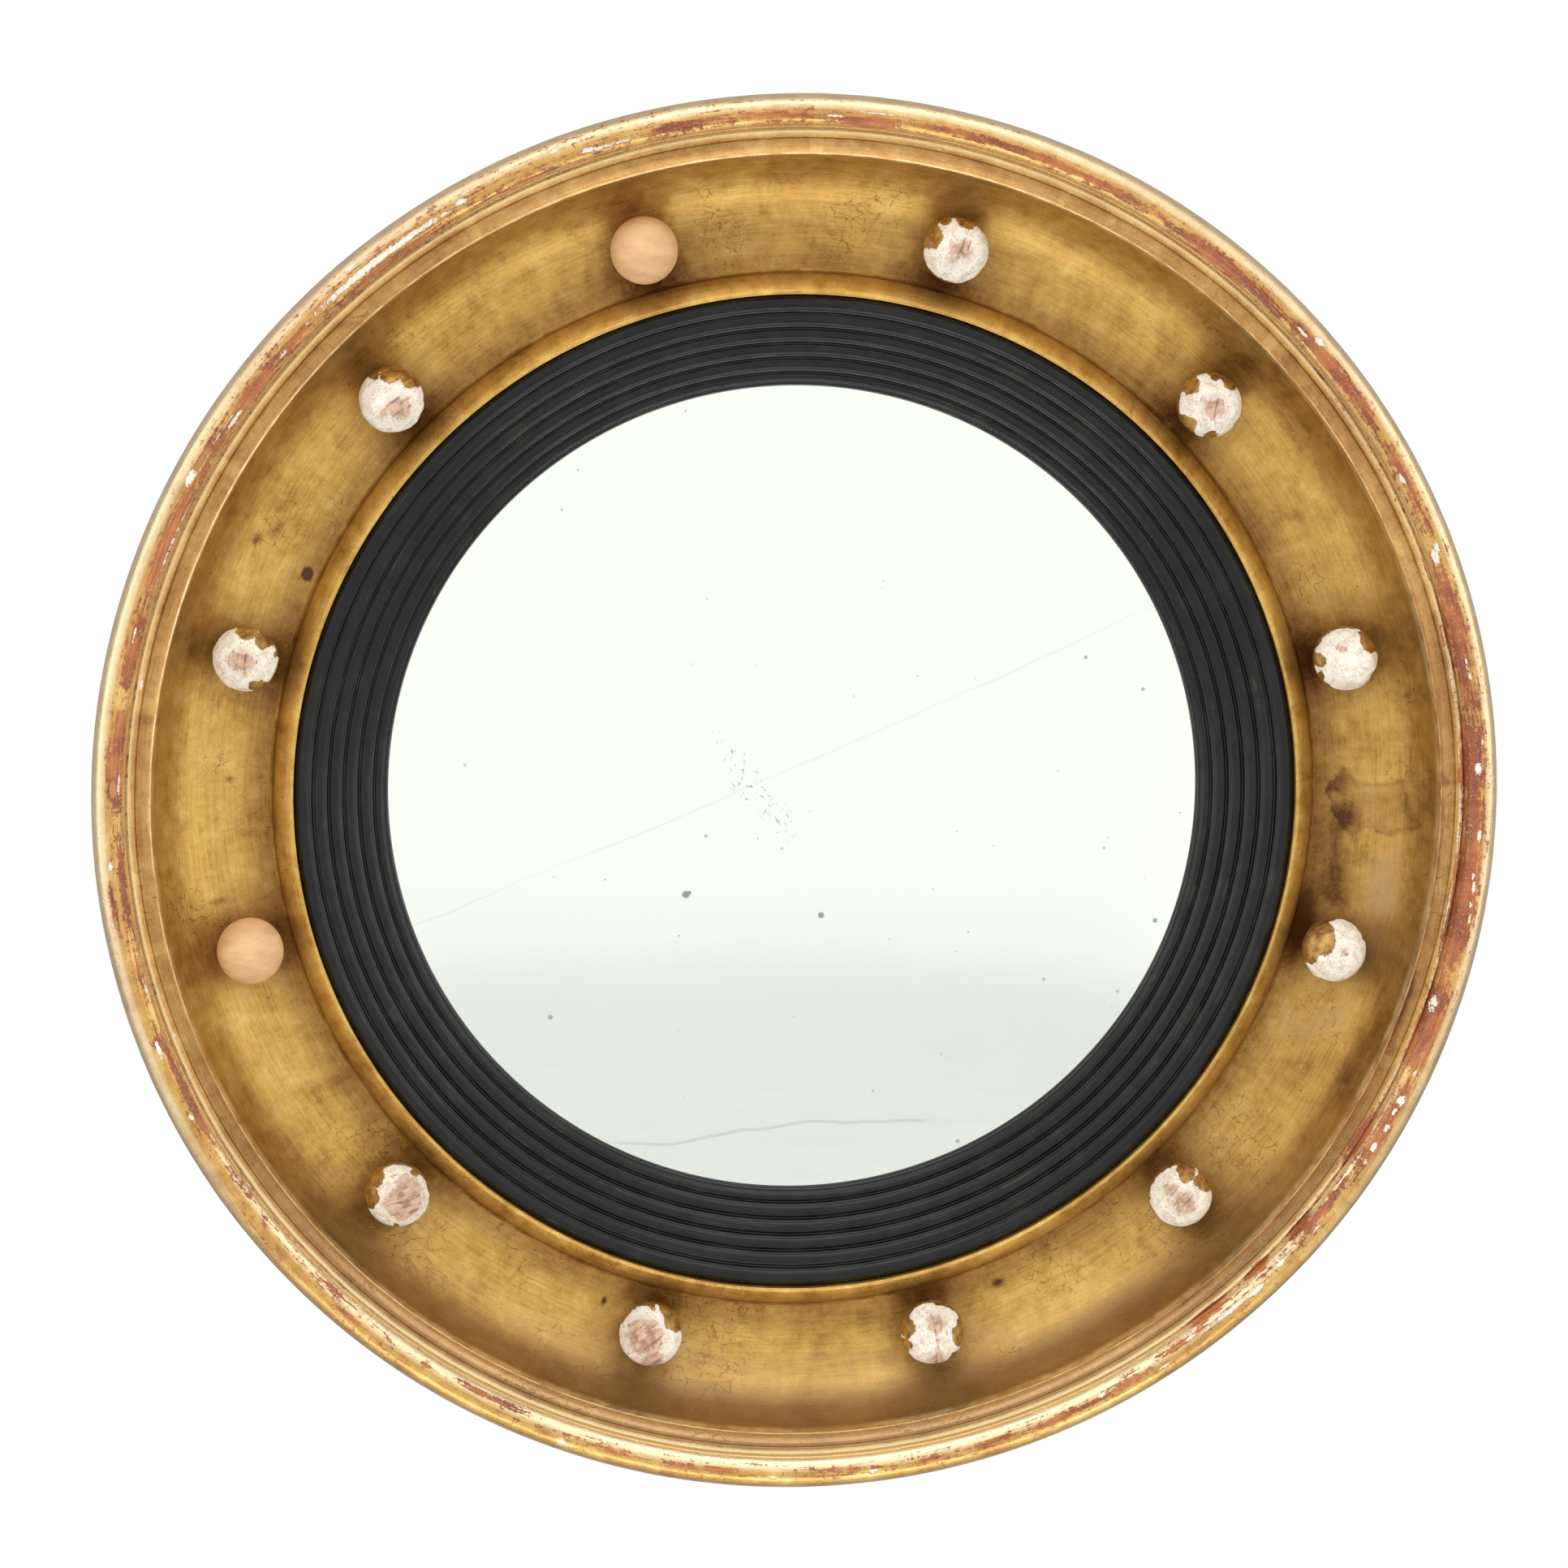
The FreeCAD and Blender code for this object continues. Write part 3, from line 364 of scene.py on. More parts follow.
# Stains where water has run on the cove at the right: outline of (angle, radius) points, how dark it is
# inside, how dark its tide line, and the softness of its edge in mm.
STAINS = (
    (((0, 208.5), (3, 214.5), (1.6, 217), (0.6, 219), (0.9, 226.5), (1.5, 236), (-1.5, 237),
      (-2.6, 241.5), (-3.7, 232.5), (-3.5, 222.5), (-4.6, 219), (-2.4, 211)), 0.14, 0.34, 1.2),
    (((0.3, 209.5), (2.7, 214.2), (0.9, 217.5), (-0.2, 214.5)), 0.32, 0.10, 1.6),
    (((-0.8, 208.5), (0, 219.5), (-3.5, 223.5), (-5, 218), (-8.2, 222), (-12, 224.5),
      (-12.8, 214.5), (-10.5, 208), (-5.5, 207)), 0.50, 0, 6),
    (((-1, 215.5), (-1, 220.5), (-3.4, 222), (-3.2, 214.5)), 0.12, 0.10, 2.6),
    (((-20.8, 241), (-15, 245), (-17, 251), (-29.2, 245.5), (-32.5, 240), (-26.5, 237)),
     0.62, 0, 6),
)
# Grey bloom beside the stains, in the same form.
BLOOMS = (
    (((-4.6, 223.5), (-3.7, 232.5), (-5, 240), (-11.2, 242), (-12.5, 228.5), (-8.2, 222.5)),
     0.62, 0, 7),
    (((-25, 205.5), (-21, 223), (-19.5, 238), (-23.2, 239.5), (-27, 228.5), (-28.8, 213.5)),
     0.50, 0.10, 8),
)
# Where the gilding is darker: the five numbers of the marks above. The first four rows darken the right of
# the cove. The broad rows near the arris, deepest at the bottom and below the lower balls, and the three
# around the upper balls are painted shade. The small rows are marks of handling, soot and knocks.
DARKENED_AND_SHADED = (
    (-14, 206, 5, 5, 0.3), (3, 224, 26, 22, 0.18),
    (-30, 230, 16, 16, 0.24), (-10, 238, 26, 8, 0.30),
    (-91, 242, 3.6, 3.6, 0.55), (-104, 240, 5, 3.6, 0.45), (-78, 240, 6, 4, 0.40),
    (-60, 240, 9, 5, 0.45), (-44, 236, 9, 7, 0.35), (-90, 240.5, 44, 4.5, 0.30),
    (40, 238, 20, 6, 0.22), (140, 240, 24, 6, 0.18), (-135, 236, 20, 8, 0.20),
    (73, 218, 10, 5, 0.22), (97, 217, 8, 4, 0.25), (108, 214, 6, 5, 0.28),
    (155.2, 206.5, 0.55, 1.5, 1.6), (154, 229, 0.5, 1.5, 0.7), (152.4, 224, 1, 1.6, 0.35),
    (-67.5, 211.5, 0.6, 1.4, 0.8), (-110.5, 214, 0.25, 1.6, 0.9), (12, 228, 0.7, 2.6, 0.5),
    (-16.5, 214, 1, 6, 0.35), (-170, 226, 0.3, 2.6, 0.5), (178, 218, 0.3, 1.4, 0.7),
)
# Where dust lies over the gold: the same five numbers.
DUSTED = (
    (-14, 232, 5, 8, 0.45), (-90, 232, 44, 11, 0.55), (-97, 236, 12, 4, 0.65),
    (-62, 234, 14, 8, 0.5), (-84, 250, 30, 3, 0.4), (-38, 244, 8, 3, 0.4),
    (-120, 236, 12, 6, 0.35), (-50, 216, 10, 8, 0.35),
)
# Where one leaf laps over the next: angle and half width in degrees.
LAPS = ((170.7, 0.8), (149.4, 0.45), (119.6, 0.6), (89, 0.5), (67, 0.3), (45.2, 0.5), (23.4, 0.7),
        (1, 0.4), (-24, 0.4), (-41.9, 0.3), (-58.6, 0.45), (-80.3, 0.5), (-102.4, 0.5), (-123.4, 0.4),
        (-146.2, 0.7), (-167.6, 0.5))
# Painted shadow around the balls, a little lower than they are: the same five numbers.
BALL_SHADOW = [(place, 217.0 - 5.0 * math.sin(math.radians(place)), 4.6, 17.0, 0.36)
              for place in range(15, 375, 30)]
# Painted shade that runs all around, at the cove's foot and in the hollow inside the torus: how dark it is,
# and the radius where it starts and ends.
FOOT_SHADE, FOOT_START, FOOT_END, FOOT_FADE = 0.52, 201.0, 216.0, 10.0
HOLLOW_SHADE, HOLLOW_START, HOLLOW_END = 0.42, 245.7, 253.0


def patches(angle, radius, entries, seed):
    """Sum of the outlined patches at each point. The distance to the outline is in mm along the ring, at
    its middle circle, and across it, wavered by noise and positive inside; a patch is its strength times
    that distance over its softness, from 0 to 1, plus its tide line, which falls off as
    exp(-(distance / 0.8)^2)."""
    east, north = (np.degrees(angle) + 180) % 360 - 180 + 0 * radius, radius + 0 * angle
    turns, widths = angle / (2 * np.pi) + 0 * radius, (radius - 190.0) / 80.0 + 0 * angle
    waver = 1.6 * rough(turns, widths, 300, 16, seed) + 0.9 * rough(turns, widths, 900, 50, seed + 7)
    mm_to_degree = math.radians(1) * 225.0
    total = np.zeros(east.shape)
    for outline, strength, tide, softness in entries:
        inside = np.zeros(east.shape, bool)
        nearest = np.full(east.shape, 1e9)
        for (a, b), (c, d) in zip(outline, outline[1:] + outline[:1]):
            crossing = (b > north) != (d > north)
            inside ^= crossing & (east < (c - a) * (north - b) / (d - b + 1e-9) + a)
            run, lift = (c - a) * mm_to_degree, d - b
            away, over = (east - a) * mm_to_degree, north - b
            share = np.clip((away * run + over * lift) / (run * run + lift * lift), 0, 1)
            nearest = np.minimum(nearest, np.hypot(away - share * run, over - share * lift))
        apart = np.where(inside, nearest, -nearest) + waver
        total += strength * np.clip(apart / softness, 0, 1) + tide * np.exp(-(apart / 0.8) ** 2)
    return total


class Turning:
    """A moulding taken around the ring, as a grid with one row per step around and one column per point of
    the outline. Radius, depth and length are in mm; turns and widths run from 0 to 1."""

    def __init__(self, corners, spacing, steps):
        self.radius, self.depth, self.length = (values[None, :] for values in moulding(corners, spacing))
        self.angle = np.linspace(0, 2 * np.pi, steps + 1)[:-1, None]
        self.turns, self.widths = self.angle / (2 * np.pi), self.length / self.length.max()

    def rough(self, cells_round, cells_across, seed):
        """Roughness from 0 to 2."""
        return 1 + rough(self.turns, self.widths, cells_round, cells_across, seed)

    def gilding(self, seed):
        """Attributes of the gilding: running length across in mm, then how far each point is rubbed, chipped,
        down to the wood, lapped, darkened (by stains and knocks, and by painted shade near the arris, around
        and below the balls, at the cove's foot and in the hollow) and dusted."""
        angle, radius = self.angle, self.radius
        ragged = (self.rough(420, 12, seed) + self.rough(900, 18, seed + 9)) / 2 - 1
        wander = 0.35 * lattice(self.turns, 0 * self.widths, 200, 1, seed + 5)
        lap = 0 * (angle + radius)
        for centre, half in LAPS:
            apart = abs((np.degrees(angle) - centre + wander + 180) % 360 - 180)
            lap = np.maximum(lap, np.clip((half + 0.12 - apart) / 0.12, 0, 1))
        chips, to_wood = marks(angle, radius, CHIPPED), marks(angle, radius, TO_WOOD)
        # Darker marks with their painted shade, and the painted shadow below the balls.
        stains_and_shade = marks(angle, radius, DARKENED_AND_SHADED) + np.clip(marks(angle, radius, BALL_SHADOW), 0, 1)
        # Painted shade at the cove's foot and in the hollow inside the torus.
        stains_and_shade = stains_and_shade + FOOT_SHADE * np.clip((FOOT_END - radius) / FOOT_FADE, 0, 1) * (radius > FOOT_START)
        stains_and_shade = stains_and_shade + (HOLLOW_SHADE * np.clip((radius - HOLLOW_START) / 0.8, 0, 1)
                         * np.clip((HOLLOW_END - radius) / 1.5, 0, 1))
        return dict(across=self.length, rubbed=marks(angle, radius, RUBBED) * (1 - 0.3 * lap),
                    chipped=(chips + 0.35 * ragged) * (chips > 0),
                    wood=(to_wood + 0.3 * ragged) * (to_wood > 0),
                    lap=lap, stains_and_shade=stains_and_shade + patches(angle, radius, STAINS, 501),
                    dusted=marks(angle, radius, DUSTED) + patches(angle, radius, BLOOMS, 551))

    def piece(self, name, fields, sunk, material, finish_slot, node, fade=1.0):
        """The surface. At angle a the outline's point (radius r, depth d) lies at (r cos a, -d, r sin a),
        after it is lowered by sunk mm along the outline's normal, and by less within fade mm of an edge."""
        along_r, along_d = np.gradient(self.radius[0]), np.gradient(self.depth[0])
        edge = np.clip(np.minimum(self.length, self.length.max() - self.length) / fade, 0, 1)
        lowered = sunk * edge / np.hypot(along_r, along_d)
        r, d = self.radius - along_d * lowered, self.depth + along_r * lowered + 0 * self.angle
        surface_mesh(name, r * np.cos(self.angle), -d, r * np.sin(self.angle), fields, material,
                     node)


def gilded_finish(name, tone, gloss, polish=0.0, wear=True, metal=0.80):
    """Water gilding. Leaf over bole and gesso, darkened with age: mottled gold with streaks of the
    burnisher and the brush around the ring, a net of fine cracks, dark specks, and bare bole, gesso
    and wood where the fields say so; with wear, also painted shade and painted highlights by place on the
    ring. Tone is the light, middle and dark gold, gloss the roughness, polish the coat, and metal how far
    the leaf is metal. Patterns lie on (x, z) scaled to one circle, and across."""
    PATTERN_CIRCLE, TONE_SHARES, ARRIS_MIDDLE = 250.0, 3.15, 245.75
    gilt = Finish(bpy.data.materials.new(name))
    x, _, z = gilt.split(gilt.place())
    radius = (x * x + z * z).math("SQRT")
    across = gilt.attribute("across")
    ring_x, ring_z = x / radius * PATTERN_CIRCLE, z / radius * PATTERN_CIRCLE
    streaked = gilt.vector(ring_x * 0.05, ring_z * 0.05, across)
    evenly = gilt.vector(ring_x, ring_z, across)
    streaks = gilt.noise(streaked, 1.1, 5.0, 0.65)
    fine_streaks = gilt.noise(gilt.vector(ring_x * 0.12, ring_z * 0.12, across), 3.2, 3.0, 0.6)
    clouds = gilt.noise(evenly, 0.028, 4.0, 0.6, 0.6)
    mottle = gilt.noise(evenly, 0.14, 4.0, 0.65)
    grain = gilt.noise(evenly, 1.4, 3.0, 0.7)
    light, middle, dark = tone
    shade = (clouds + mottle * 0.8 + streaks * 0.65 + fine_streaks * 0.25 + grain * 0.45) / TONE_SHARES
    gold = gilt.mix(shade.step(0.38, 0.52), dark, middle)
    gold = gilt.mix(shade.step(0.49, 0.64), gold, light)
    warp = gilt.noise(evenly, 0.35, 3.0, 0.6)
    warped = gilt.vector(ring_x + warp * 3.0, ring_z - warp * 3.0, across * 1.15 + warp * 2.0)
    cracked = gilt.add("ShaderNodeTexVoronoi", dict(feature="DISTANCE_TO_EDGE", voronoi_dimensions="3D"),
                       dict(Vector=warped, Scale=0.16, Randomness=1.0))
    low = z.step(-0.22, 0.05, 0.10, 0.0)
    where_cracked = ((gilt.noise(evenly, 0.035, 2.0, 0.5) + low).step(0.57, 0.68)
                     * gilt.noise(evenly, 0.5, 2.0).step(0.4, 0.6))
    crack = cracked.step(0.0, 0.05, 1.0, 0.0) * where_cracked
    gold = gilt.mix(crack * 0.6, gold, (84, 52, 20))
    specks = gilt.add("ShaderNodeTexVoronoi", dict(feature="F1"),
                      dict(Vector=evenly, Scale=0.13, Randomness=1.0))
    speck = specks.step(0.03, 0.07, 1.0, 0.0) * gilt.noise(evenly, 0.09, 1.0).step(0.5, 0.56)
    gold = gilt.mix(speck * 0.75, gold, (70, 40, 18))
    metallic, roughness = metal, gloss + (mottle - 0.4) * 0.3
    height = streaks * 0.35 + grain * 0.25 + mottle * 0.6 - crack * 0.5
    if wear:
        rubbed, chipped, wood, lap, stains_and_shade, dusted = (
            gilt.attribute(key) for key in ("rubbed", "chipped", "wood", "lap", "stains_and_shade", "dusted"))
        cloudy = gilt.noise(evenly, 0.22, 5.0, 0.7)
        # Darker where stains and knocks are, and painted shade where the field carries it.
        stain_shade_mix = (stains_and_shade * 1.15 + (cloudy - 0.5) * stains_and_shade.step(0.0, 0.6, 0.0, 0.7)).math("MAXIMUM", 0.0)
        gold = gilt.mix(stain_shade_mix * 0.90, gold, gilt.mix(1.0, gold, (122, 82, 42), "MULTIPLY"))
        # Deep dark blotches where that field is strongest: soot, and painted shade around and below the balls
        # and at the foot.
        soot_and_shade = (stains_and_shade + (gilt.noise(evenly, 0.9, 4.0, 0.75) - 0.5) * 1.8).step(0.78, 1.10)
        gold = gilt.mix(soot_and_shade * 0.65, gold, (62, 42, 24))
        film = (dusted * 1.1 + (cloudy - 0.5) * dusted.step(0.0, 0.3, 0.0, 0.9)).step(0.15, 1.1) * 0.60
        gold = gilt.mix(film, gold, (172, 140, 98))
        # laps of leaf, a little brighter, and painted light by place on the ring: a pale line at the arris,
        # partly rubbed gold and partly a painted highlight; painted shade, duller, over the lower cove and
        # hollow at the bottom; painted highlights on the torus's inner flank and, but at the bottom, its
        # outer shoulder; and a thin outermost line, a painted reflection at the top and painted shade at the
        # bottom
        out = radius / MM
        # Pale line at the arris: partly gold rubbed pale, partly a painted highlight.
        arris = (out - ARRIS_MIDDLE).math("ABSOLUTE").step(0.10, 0.80, 1.0, 0.0)
        polished = gilt.noise(evenly, 0.12, 3.0).step(0.35, 0.65, 0.25, 0.85)
        gold = gilt.mix(arris * polished, gold, (250, 228, 176))
        gold = gilt.mix(lap * 0.14, gold, (250, 214, 128))
        upward = z.step(-0.20, -0.08)
        # Painted shade: the outer cove and the hollow duller on the lower half of the ring.
        lower_shade = out.step(232.0, 242.0) * out.step(252.4, 253.2, 1.0, 0.0) * (1 - upward) * (1 - arris)
        gold = gilt.mix(lower_shade * (0.35 + cloudy * 0.6), gold, (150, 116, 74))
        # Painted highlights: the torus's inner flank, strongest at the bottom, and its outer shoulder on the
        # upper part only.
        flank_highlight = out.step(252.6, 254.2) * (out - (1 - upward) * 3.0).step(255.2, 258.0, 1.0, 0.0)
        shoulder_highlight = out.step(261.6, 263.2) * (0.35 + mottle) * upward
        gold = gilt.mix(flank_highlight * (0.85 - upward * 0.35), gold, (252, 234, 190))
        gold = gilt.mix(shoulder_highlight * 0.55, gold, (250, 232, 200))
        # Thin outermost line: a painted reflection, pale on the upper part, and painted shade, dark at the
        # bottom.
        gold = gilt.mix(out.step(264.9, 265.8) * 0.5, gold, gilt.mix(upward, (118, 92, 48), (246, 216, 178)))
        # bare bole, gesso and wood
        smear = gilt.noise(gilt.vector(ring_x * 0.07, ring_z * 0.07, across), 1.0, 5.0, 0.72)
        scatter = gilt.noise(evenly, 0.42, 5.0, 0.75)
        bare = ((rubbed * 1.35 + (smear - 0.5) * 3.4 + (scatter - 0.5) * 3.4).step(0.50, 0.86)
                * rubbed.step(0.0, 0.15))
        bole = gilt.mix(gilt.noise(evenly, 0.05, 3.0).step(0.4, 0.62), (138, 62, 28), (188, 106, 50))
        bole = gilt.mix((smear * 0.6 + grain * 0.4).step(0.46, 0.62) * 0.85, bole, (100, 46, 24))
        bole = gilt.mix(grain.step(0.52, 0.68) * 0.5, bole, (222, 170, 120))
        thin = (rubbed + (smear - 0.5) * 1.8 + (mottle - 0.5) * 0.8).step(0.20, 0.62) * rubbed.step(0.0, 0.15)
        flaky = gilt.noise(gilt.vector(ring_x * 0.8, ring_z * 0.8, across), 1.1, 4.0, 0.75)
        chip = (chipped * 1.1 + (flaky - 0.5) * chipped.step(0.0, 0.3, 0.0, 2.4)).step(0.56, 0.64)
        chalk = gilt.mix(grain.step(0.35, 0.65), (220, 204, 186), (248, 240, 228))
        timber = wood.step(0.62, 0.80)
        gold = gilt.mix(thin * 0.45, gold, (204, 132, 74))
        gold = gilt.mix(bare, gold, bole)
        gold = gilt.mix(chip, gold, chalk)
        gold = gilt.mix(timber, gold, gilt.mix(fine_streaks, (150, 92, 48), (198, 142, 88)))
        covered = (1 - bare) * (1 - chip) * (1 - timber)
        metallic = covered * (metal - film * 0.55 - stain_shade_mix * 0.15)
        roughness = roughness + bare * 0.2 + chip * 0.3 + timber * 0.3 + film * 0.15
        height = height - bare * 0.5 - chip * 1.4 - timber * 2.6
    return gilt.surface(Base_Color=gold, Metallic=metallic, Roughness=roughness, Coat_Weight=polish,
                        Coat_Roughness=0.16, Normal=gilt.bump(height, 0.0002, 0.8))


rim_gold = gilded_finish("rim_gold", ((240, 204, 134), (212, 164, 90), (168, 118, 58)), 0.24, 0.3)
TORUS = ((264.0, 57.33, 6.6, 2), (254.80, 63.2), (254.30, 64.9))
torus = Turning(TORUS, 0.74, 2400)
fields = torus.gilding(11)
sunk = (0.10 * torus.rough(26, 2, 31) + 0.03 * torus.rough(260, 6, 41)
        + 0.30 * np.clip((fields["chipped"] - 0.6) / 0.2, 0, 1)
        + 0.45 * np.clip((fields["wood"] - 0.6) / 0.2, 0, 1) + 0.05 * fields["rubbed"] - 0.04 * fields["lap"])
torus.piece("rim_torus", fields, sunk, rim_gold, "gilded_frame", "rim_ring")

# ---- Gilded front ring: fillet, groove and hollow inside the torus ----
# The same turned wood and gilding, with a small fillet, a quirk and a shallow hollow up to the sharp arris.
HOLLOW = ((254.30, 64.9), (252.00, 64.9), (251.10, 63.6, 14.0, -1), (245.6, 66.0))
hollow = Turning(HOLLOW, 0.40, 2400)
fields = hollow.gilding(12)
sunk = 0.05 * hollow.rough(30, 2, 51) + 0.15 * np.clip((fields["chipped"] - 0.6) / 0.2, 0, 1)
hollow.piece("rim_hollow", fields, sunk, rim_gold, "gilded_frame", "rim_ring")

# ---- Gilded front ring: the cove that holds the balls ----
# A quarter-round cove turned in the same ring, gilded in matt leaf that shows no laps, with painted shade
# near the arris and foot.
COVE = ((245.6, 66.0, 32.2, -1), (202.8, 35.59))
cove_gold = gilded_finish("cove_gold", ((228, 194, 116), (202, 160, 84), (156, 116, 54)), 0.38)
cove = Turning(COVE, 1.28, 2000)
fields = cove.gilding(13)
fields["lap"] = 0 * fields["lap"]
sunk = 0.12 * cove.rough(22, 3, 61) + 0.03 * cove.rough(200, 14, 71)
cove.piece("rim_cove", fields, sunk, cove_gold, "gilded_frame", "rim_ring", fade=1.5)

# ---- Gilded front ring: the lip around the slip ----
# A half-round lip between the cove and the black slip, turned in the same ring, with the rebate behind it
# that the slip sits in.
LIP = ((202.8, 35.59), (201.7, 36.3, 17.0, 1), (194.2, 45.89), (193.3, 45.89), (193.3, 37.89), (197.5, 37.89))
lip = Turning(LIP, 0.8, 1600)
lip.piece("rim_lip", lip.gilding(14), 0.05 * lip.rough(30, 2, 81), cove_gold, "gilded_frame", "rim_ring")

# ---- Gilded front ring: the side ----
# The face glued to the ring behind, the plain side, a cavetto and a small shoulder up to the torus, all
# turned in the same ring. The side is painted ochre, as on frames of this kind.
SIDE = ((197.5, 22.0), (260.0, 22.0), (260.0, 51.13, 4.0, -1), (264.0, 55.13), (264.0, 57.33))
side = Turning(SIDE, 1.6, 720)
side_ochre = gilded_finish("side_ochre", ((190, 148, 92), (168, 126, 76), (132, 96, 58)), 0.6, wear=False,
                           metal=0.0)
side.piece("rim_side", dict(across=side.length), 0, side_ochre, "gilded_frame", "rim_ring")

# ---- Ebonised slip ----
# One turned ring, black and half matt: an outer half-round band, four reeds that step down to the glass
# and a small bead at the sight edge. Eight brads hold it from behind.
SLIP = ((193.1, 37.89), (193.1, 42.49, 4.1, 1), (186.0, 40.29, 3.6, 1), (180.3, 37.12, 3.6, 1),
        (174.6, 33.95, 3.6, 1), (168.9, 30.78, 3.6, 1), (163.2, 27.61, 2.4, 1), (159.3, 26.11),
        (158.4, 26.11), (158.4, 24.21), (166.2, 24.21))
slip = Turning(SLIP, 0.64, 960)
ebony = Finish(bpy.data.materials.new("ebony_black"))
x, _, z = ebony.split(ebony.place())
reach = (x * x + z * z).math("SQRT")
across = ebony.attribute("across")
# patterns lie on (x, z) scaled to one circle, and across, as in the gilding
SLIP_CIRCLE = 180.0
round_x, round_z = x / reach * SLIP_CIRCLE, z / reach * SLIP_CIRCLE
evenly = ebony.vector(round_x, round_z, across)
lathe_lines = ebony.noise(ebony.vector(round_x * 0.04, round_z * 0.04, across), 2.2, 4.0, 0.6)
dust, fleck = ebony.noise(evenly, 0.08, 4.0, 0.65), ebony.noise(evenly, 1.6, 2.0, 0.6)
black = ebony.mix(dust.step(0.35, 0.7), (8, 9, 9), (18, 19, 20))
black = ebony.mix(fleck.step(0.70, 0.78) * 0.30, black, (120, 104, 80))
worn_lines = ebony.noise(ebony.vector(round_x * 0.012, round_z * 0.012, across * 1.6), 1.4, 2.0, 0.5)
black = ebony.mix(worn_lines.step(0.60, 0.68) * dust.step(0.45, 0.65) * 0.35, black, (112, 92, 66))
ebony_finish = ebony.surface(Base_Color=black, Specular_IOR_Level=0.34, Roughness=0.13 + dust * 0.14,
                             Normal=ebony.bump(lathe_lines * 0.9 + fleck * 0.1, 0.00005))
sunk = 0.03 * slip.rough(40, 4, 91) + 0.004 * slip.rough(240, 30, 92)
slip.piece("slip_reeds", dict(across=slip.length), sunk, ebony_finish, "ebonised_wood", "slip")

# ---- Convex glass ----
# Old blown plate, bent to a shallow dome and silvered behind. Specks of lost silver, a faint scratch
# and slight waves show in the reflection. It rests in the slip's rebate.
GLASS_RADIUS, GLASS_CURVE, GLASS_APEX = 166.0, 903.0, 38.17
ring = np.concatenate(([0.02], np.linspace(1.8, GLASS_RADIUS, 92)))
angle = np.linspace(0, 2 * np.pi, 361)[:-1, None]
r = ring[None, ::-1] + 0 * angle
d = GLASS_APEX - GLASS_CURVE + np.sqrt(GLASS_CURVE ** 2 - r ** 2)
silver = Finish(bpy.data.materials.new("old_silvered_glass"))
x, _, z = silver.split(silver.place())
east, north = x / MM, z / MM
flat = silver.vector(east, 0.0, north)
foxing = silver.add("ShaderNodeTexVoronoi", dict(feature="F1"), dict(Vector=flat, Scale=0.10, Randomness=1.0))
where_foxed = silver.noise(flat, 0.012, 2.0, 0.5) + (x * 3.0 - z * 2.0).step(0.0, 1.0, 0.0, 0.08)
speck = foxing.step(0.025, 0.055, 0.7, 0.0) * where_foxed.step(0.44, 0.54)
# Larger specks of lost silver: right, up, radius in mm and how dark.
for right_mm, up_mm, size_mm, darkness in (
        (-43.1, -38.1, 1.7, 0.9), (-41.8, -37.4, 1.0, 0.9), (9.5, -46.5, 1.4, 0.9), (-95.5, -87.5, 1.1, 0.8),
        (-35.4, -15.0, 0.9, 0.5), (142.4, -51.8, 1.1, 0.8), (65.3, -140.0, 1.0, 0.7), (112.6, 53.1, 0.9, 0.7),
        (135.7, 40.2, 0.9, 0.7), (121.0, -22.0, 0.7, 0.6), (98.0, -74.0, 0.8, 0.6), (128.0, -80.0, 0.8, 0.6),
        (31.0, -118.0, 0.7, 0.5), (-6.0, -20.0, 0.7, 0.5), (-128.0, 12.0, 0.8, 0.5)):
    apart = silver.add("ShaderNodeVectorMath", dict(operation="DISTANCE"),
                       [flat, (right_mm, 0.0, up_mm)], output=1)
    speck = speck.math("MAXIMUM", apart.step(size_mm * 0.5, size_mm * 1.2, darkness, 0.0))
# A cluster of fine streaks left of the centre. Fall runs down them and aside across them.
CLUSTER_EAST, CLUSTER_NORTH, FALL_EAST, FALL_NORTH = -17.0, 4.0, 0.60, -0.80
fall = (east - CLUSTER_EAST) * FALL_EAST + (north - CLUSTER_NORTH) * FALL_NORTH
aside = (east - CLUSTER_EAST) * -FALL_NORTH + (north - CLUSTER_NORTH) * FALL_EAST
cluster = (1 - (fall * fall * 0.0012 + aside * aside * 0.014)
           + (silver.noise(flat, 0.10, 3.0, 0.7) - 0.5) * 1.6).step(0.15, 0.75)
streaks = silver.noise(silver.vector(fall * 0.55, 0.0, aside * 1.5), 0.62, 2.0, 0.6)
streaks = streaks.step(0.60, 0.66) * cluster
# One long faint scratch that rises to the right, bent by noise.
SCRATCH_HEIGHT, SCRATCH_RISE = 14.6, 0.43
wander = silver.noise(flat, 0.02, 2.0)
off_line = (north - east * SCRATCH_RISE + wander * 5.0 - SCRATCH_HEIGHT).math("ABSOLUTE")
scratch = off_line.step(0.15, 0.8, 1.0, 0.0) * wander.step(0.30, 0.60, 0.4, 1.0)
# A ripple low in the plate, between two places, that climbs to the right, and a haze of low waves.
RIPPLE_DROP, RIPPLE_FROM, RIPPLE_TO = 132.8, -70.0, 52.0
off_ripple = (north + RIPPLE_DROP - east.step(-60.0, 10.0, -6.5, 2.0)
              + (silver.noise(flat, 0.03, 2.0) - 0.5) * 5.0).math("ABSOLUTE")
ripple = (off_ripple.step(0.2, 1.0, 1.0, 0.0) * east.step(RIPPLE_FROM - 4.0, RIPPLE_FROM + 4.0)
          * east.step(RIPPLE_TO - 4.0, RIPPLE_TO + 4.0, 1.0, 0.0))
low_waves = silver.noise(silver.vector(x * 22.0, 0.0, z * 150.0), 1.0, 4.0, 0.6, 1.2)
haze = low_waves.step(0.42, 0.62) * z.step(-0.14, -0.06, 1.0, 0.0) * 0.025
marked = speck.math("MAXIMUM", streaks * 0.75)
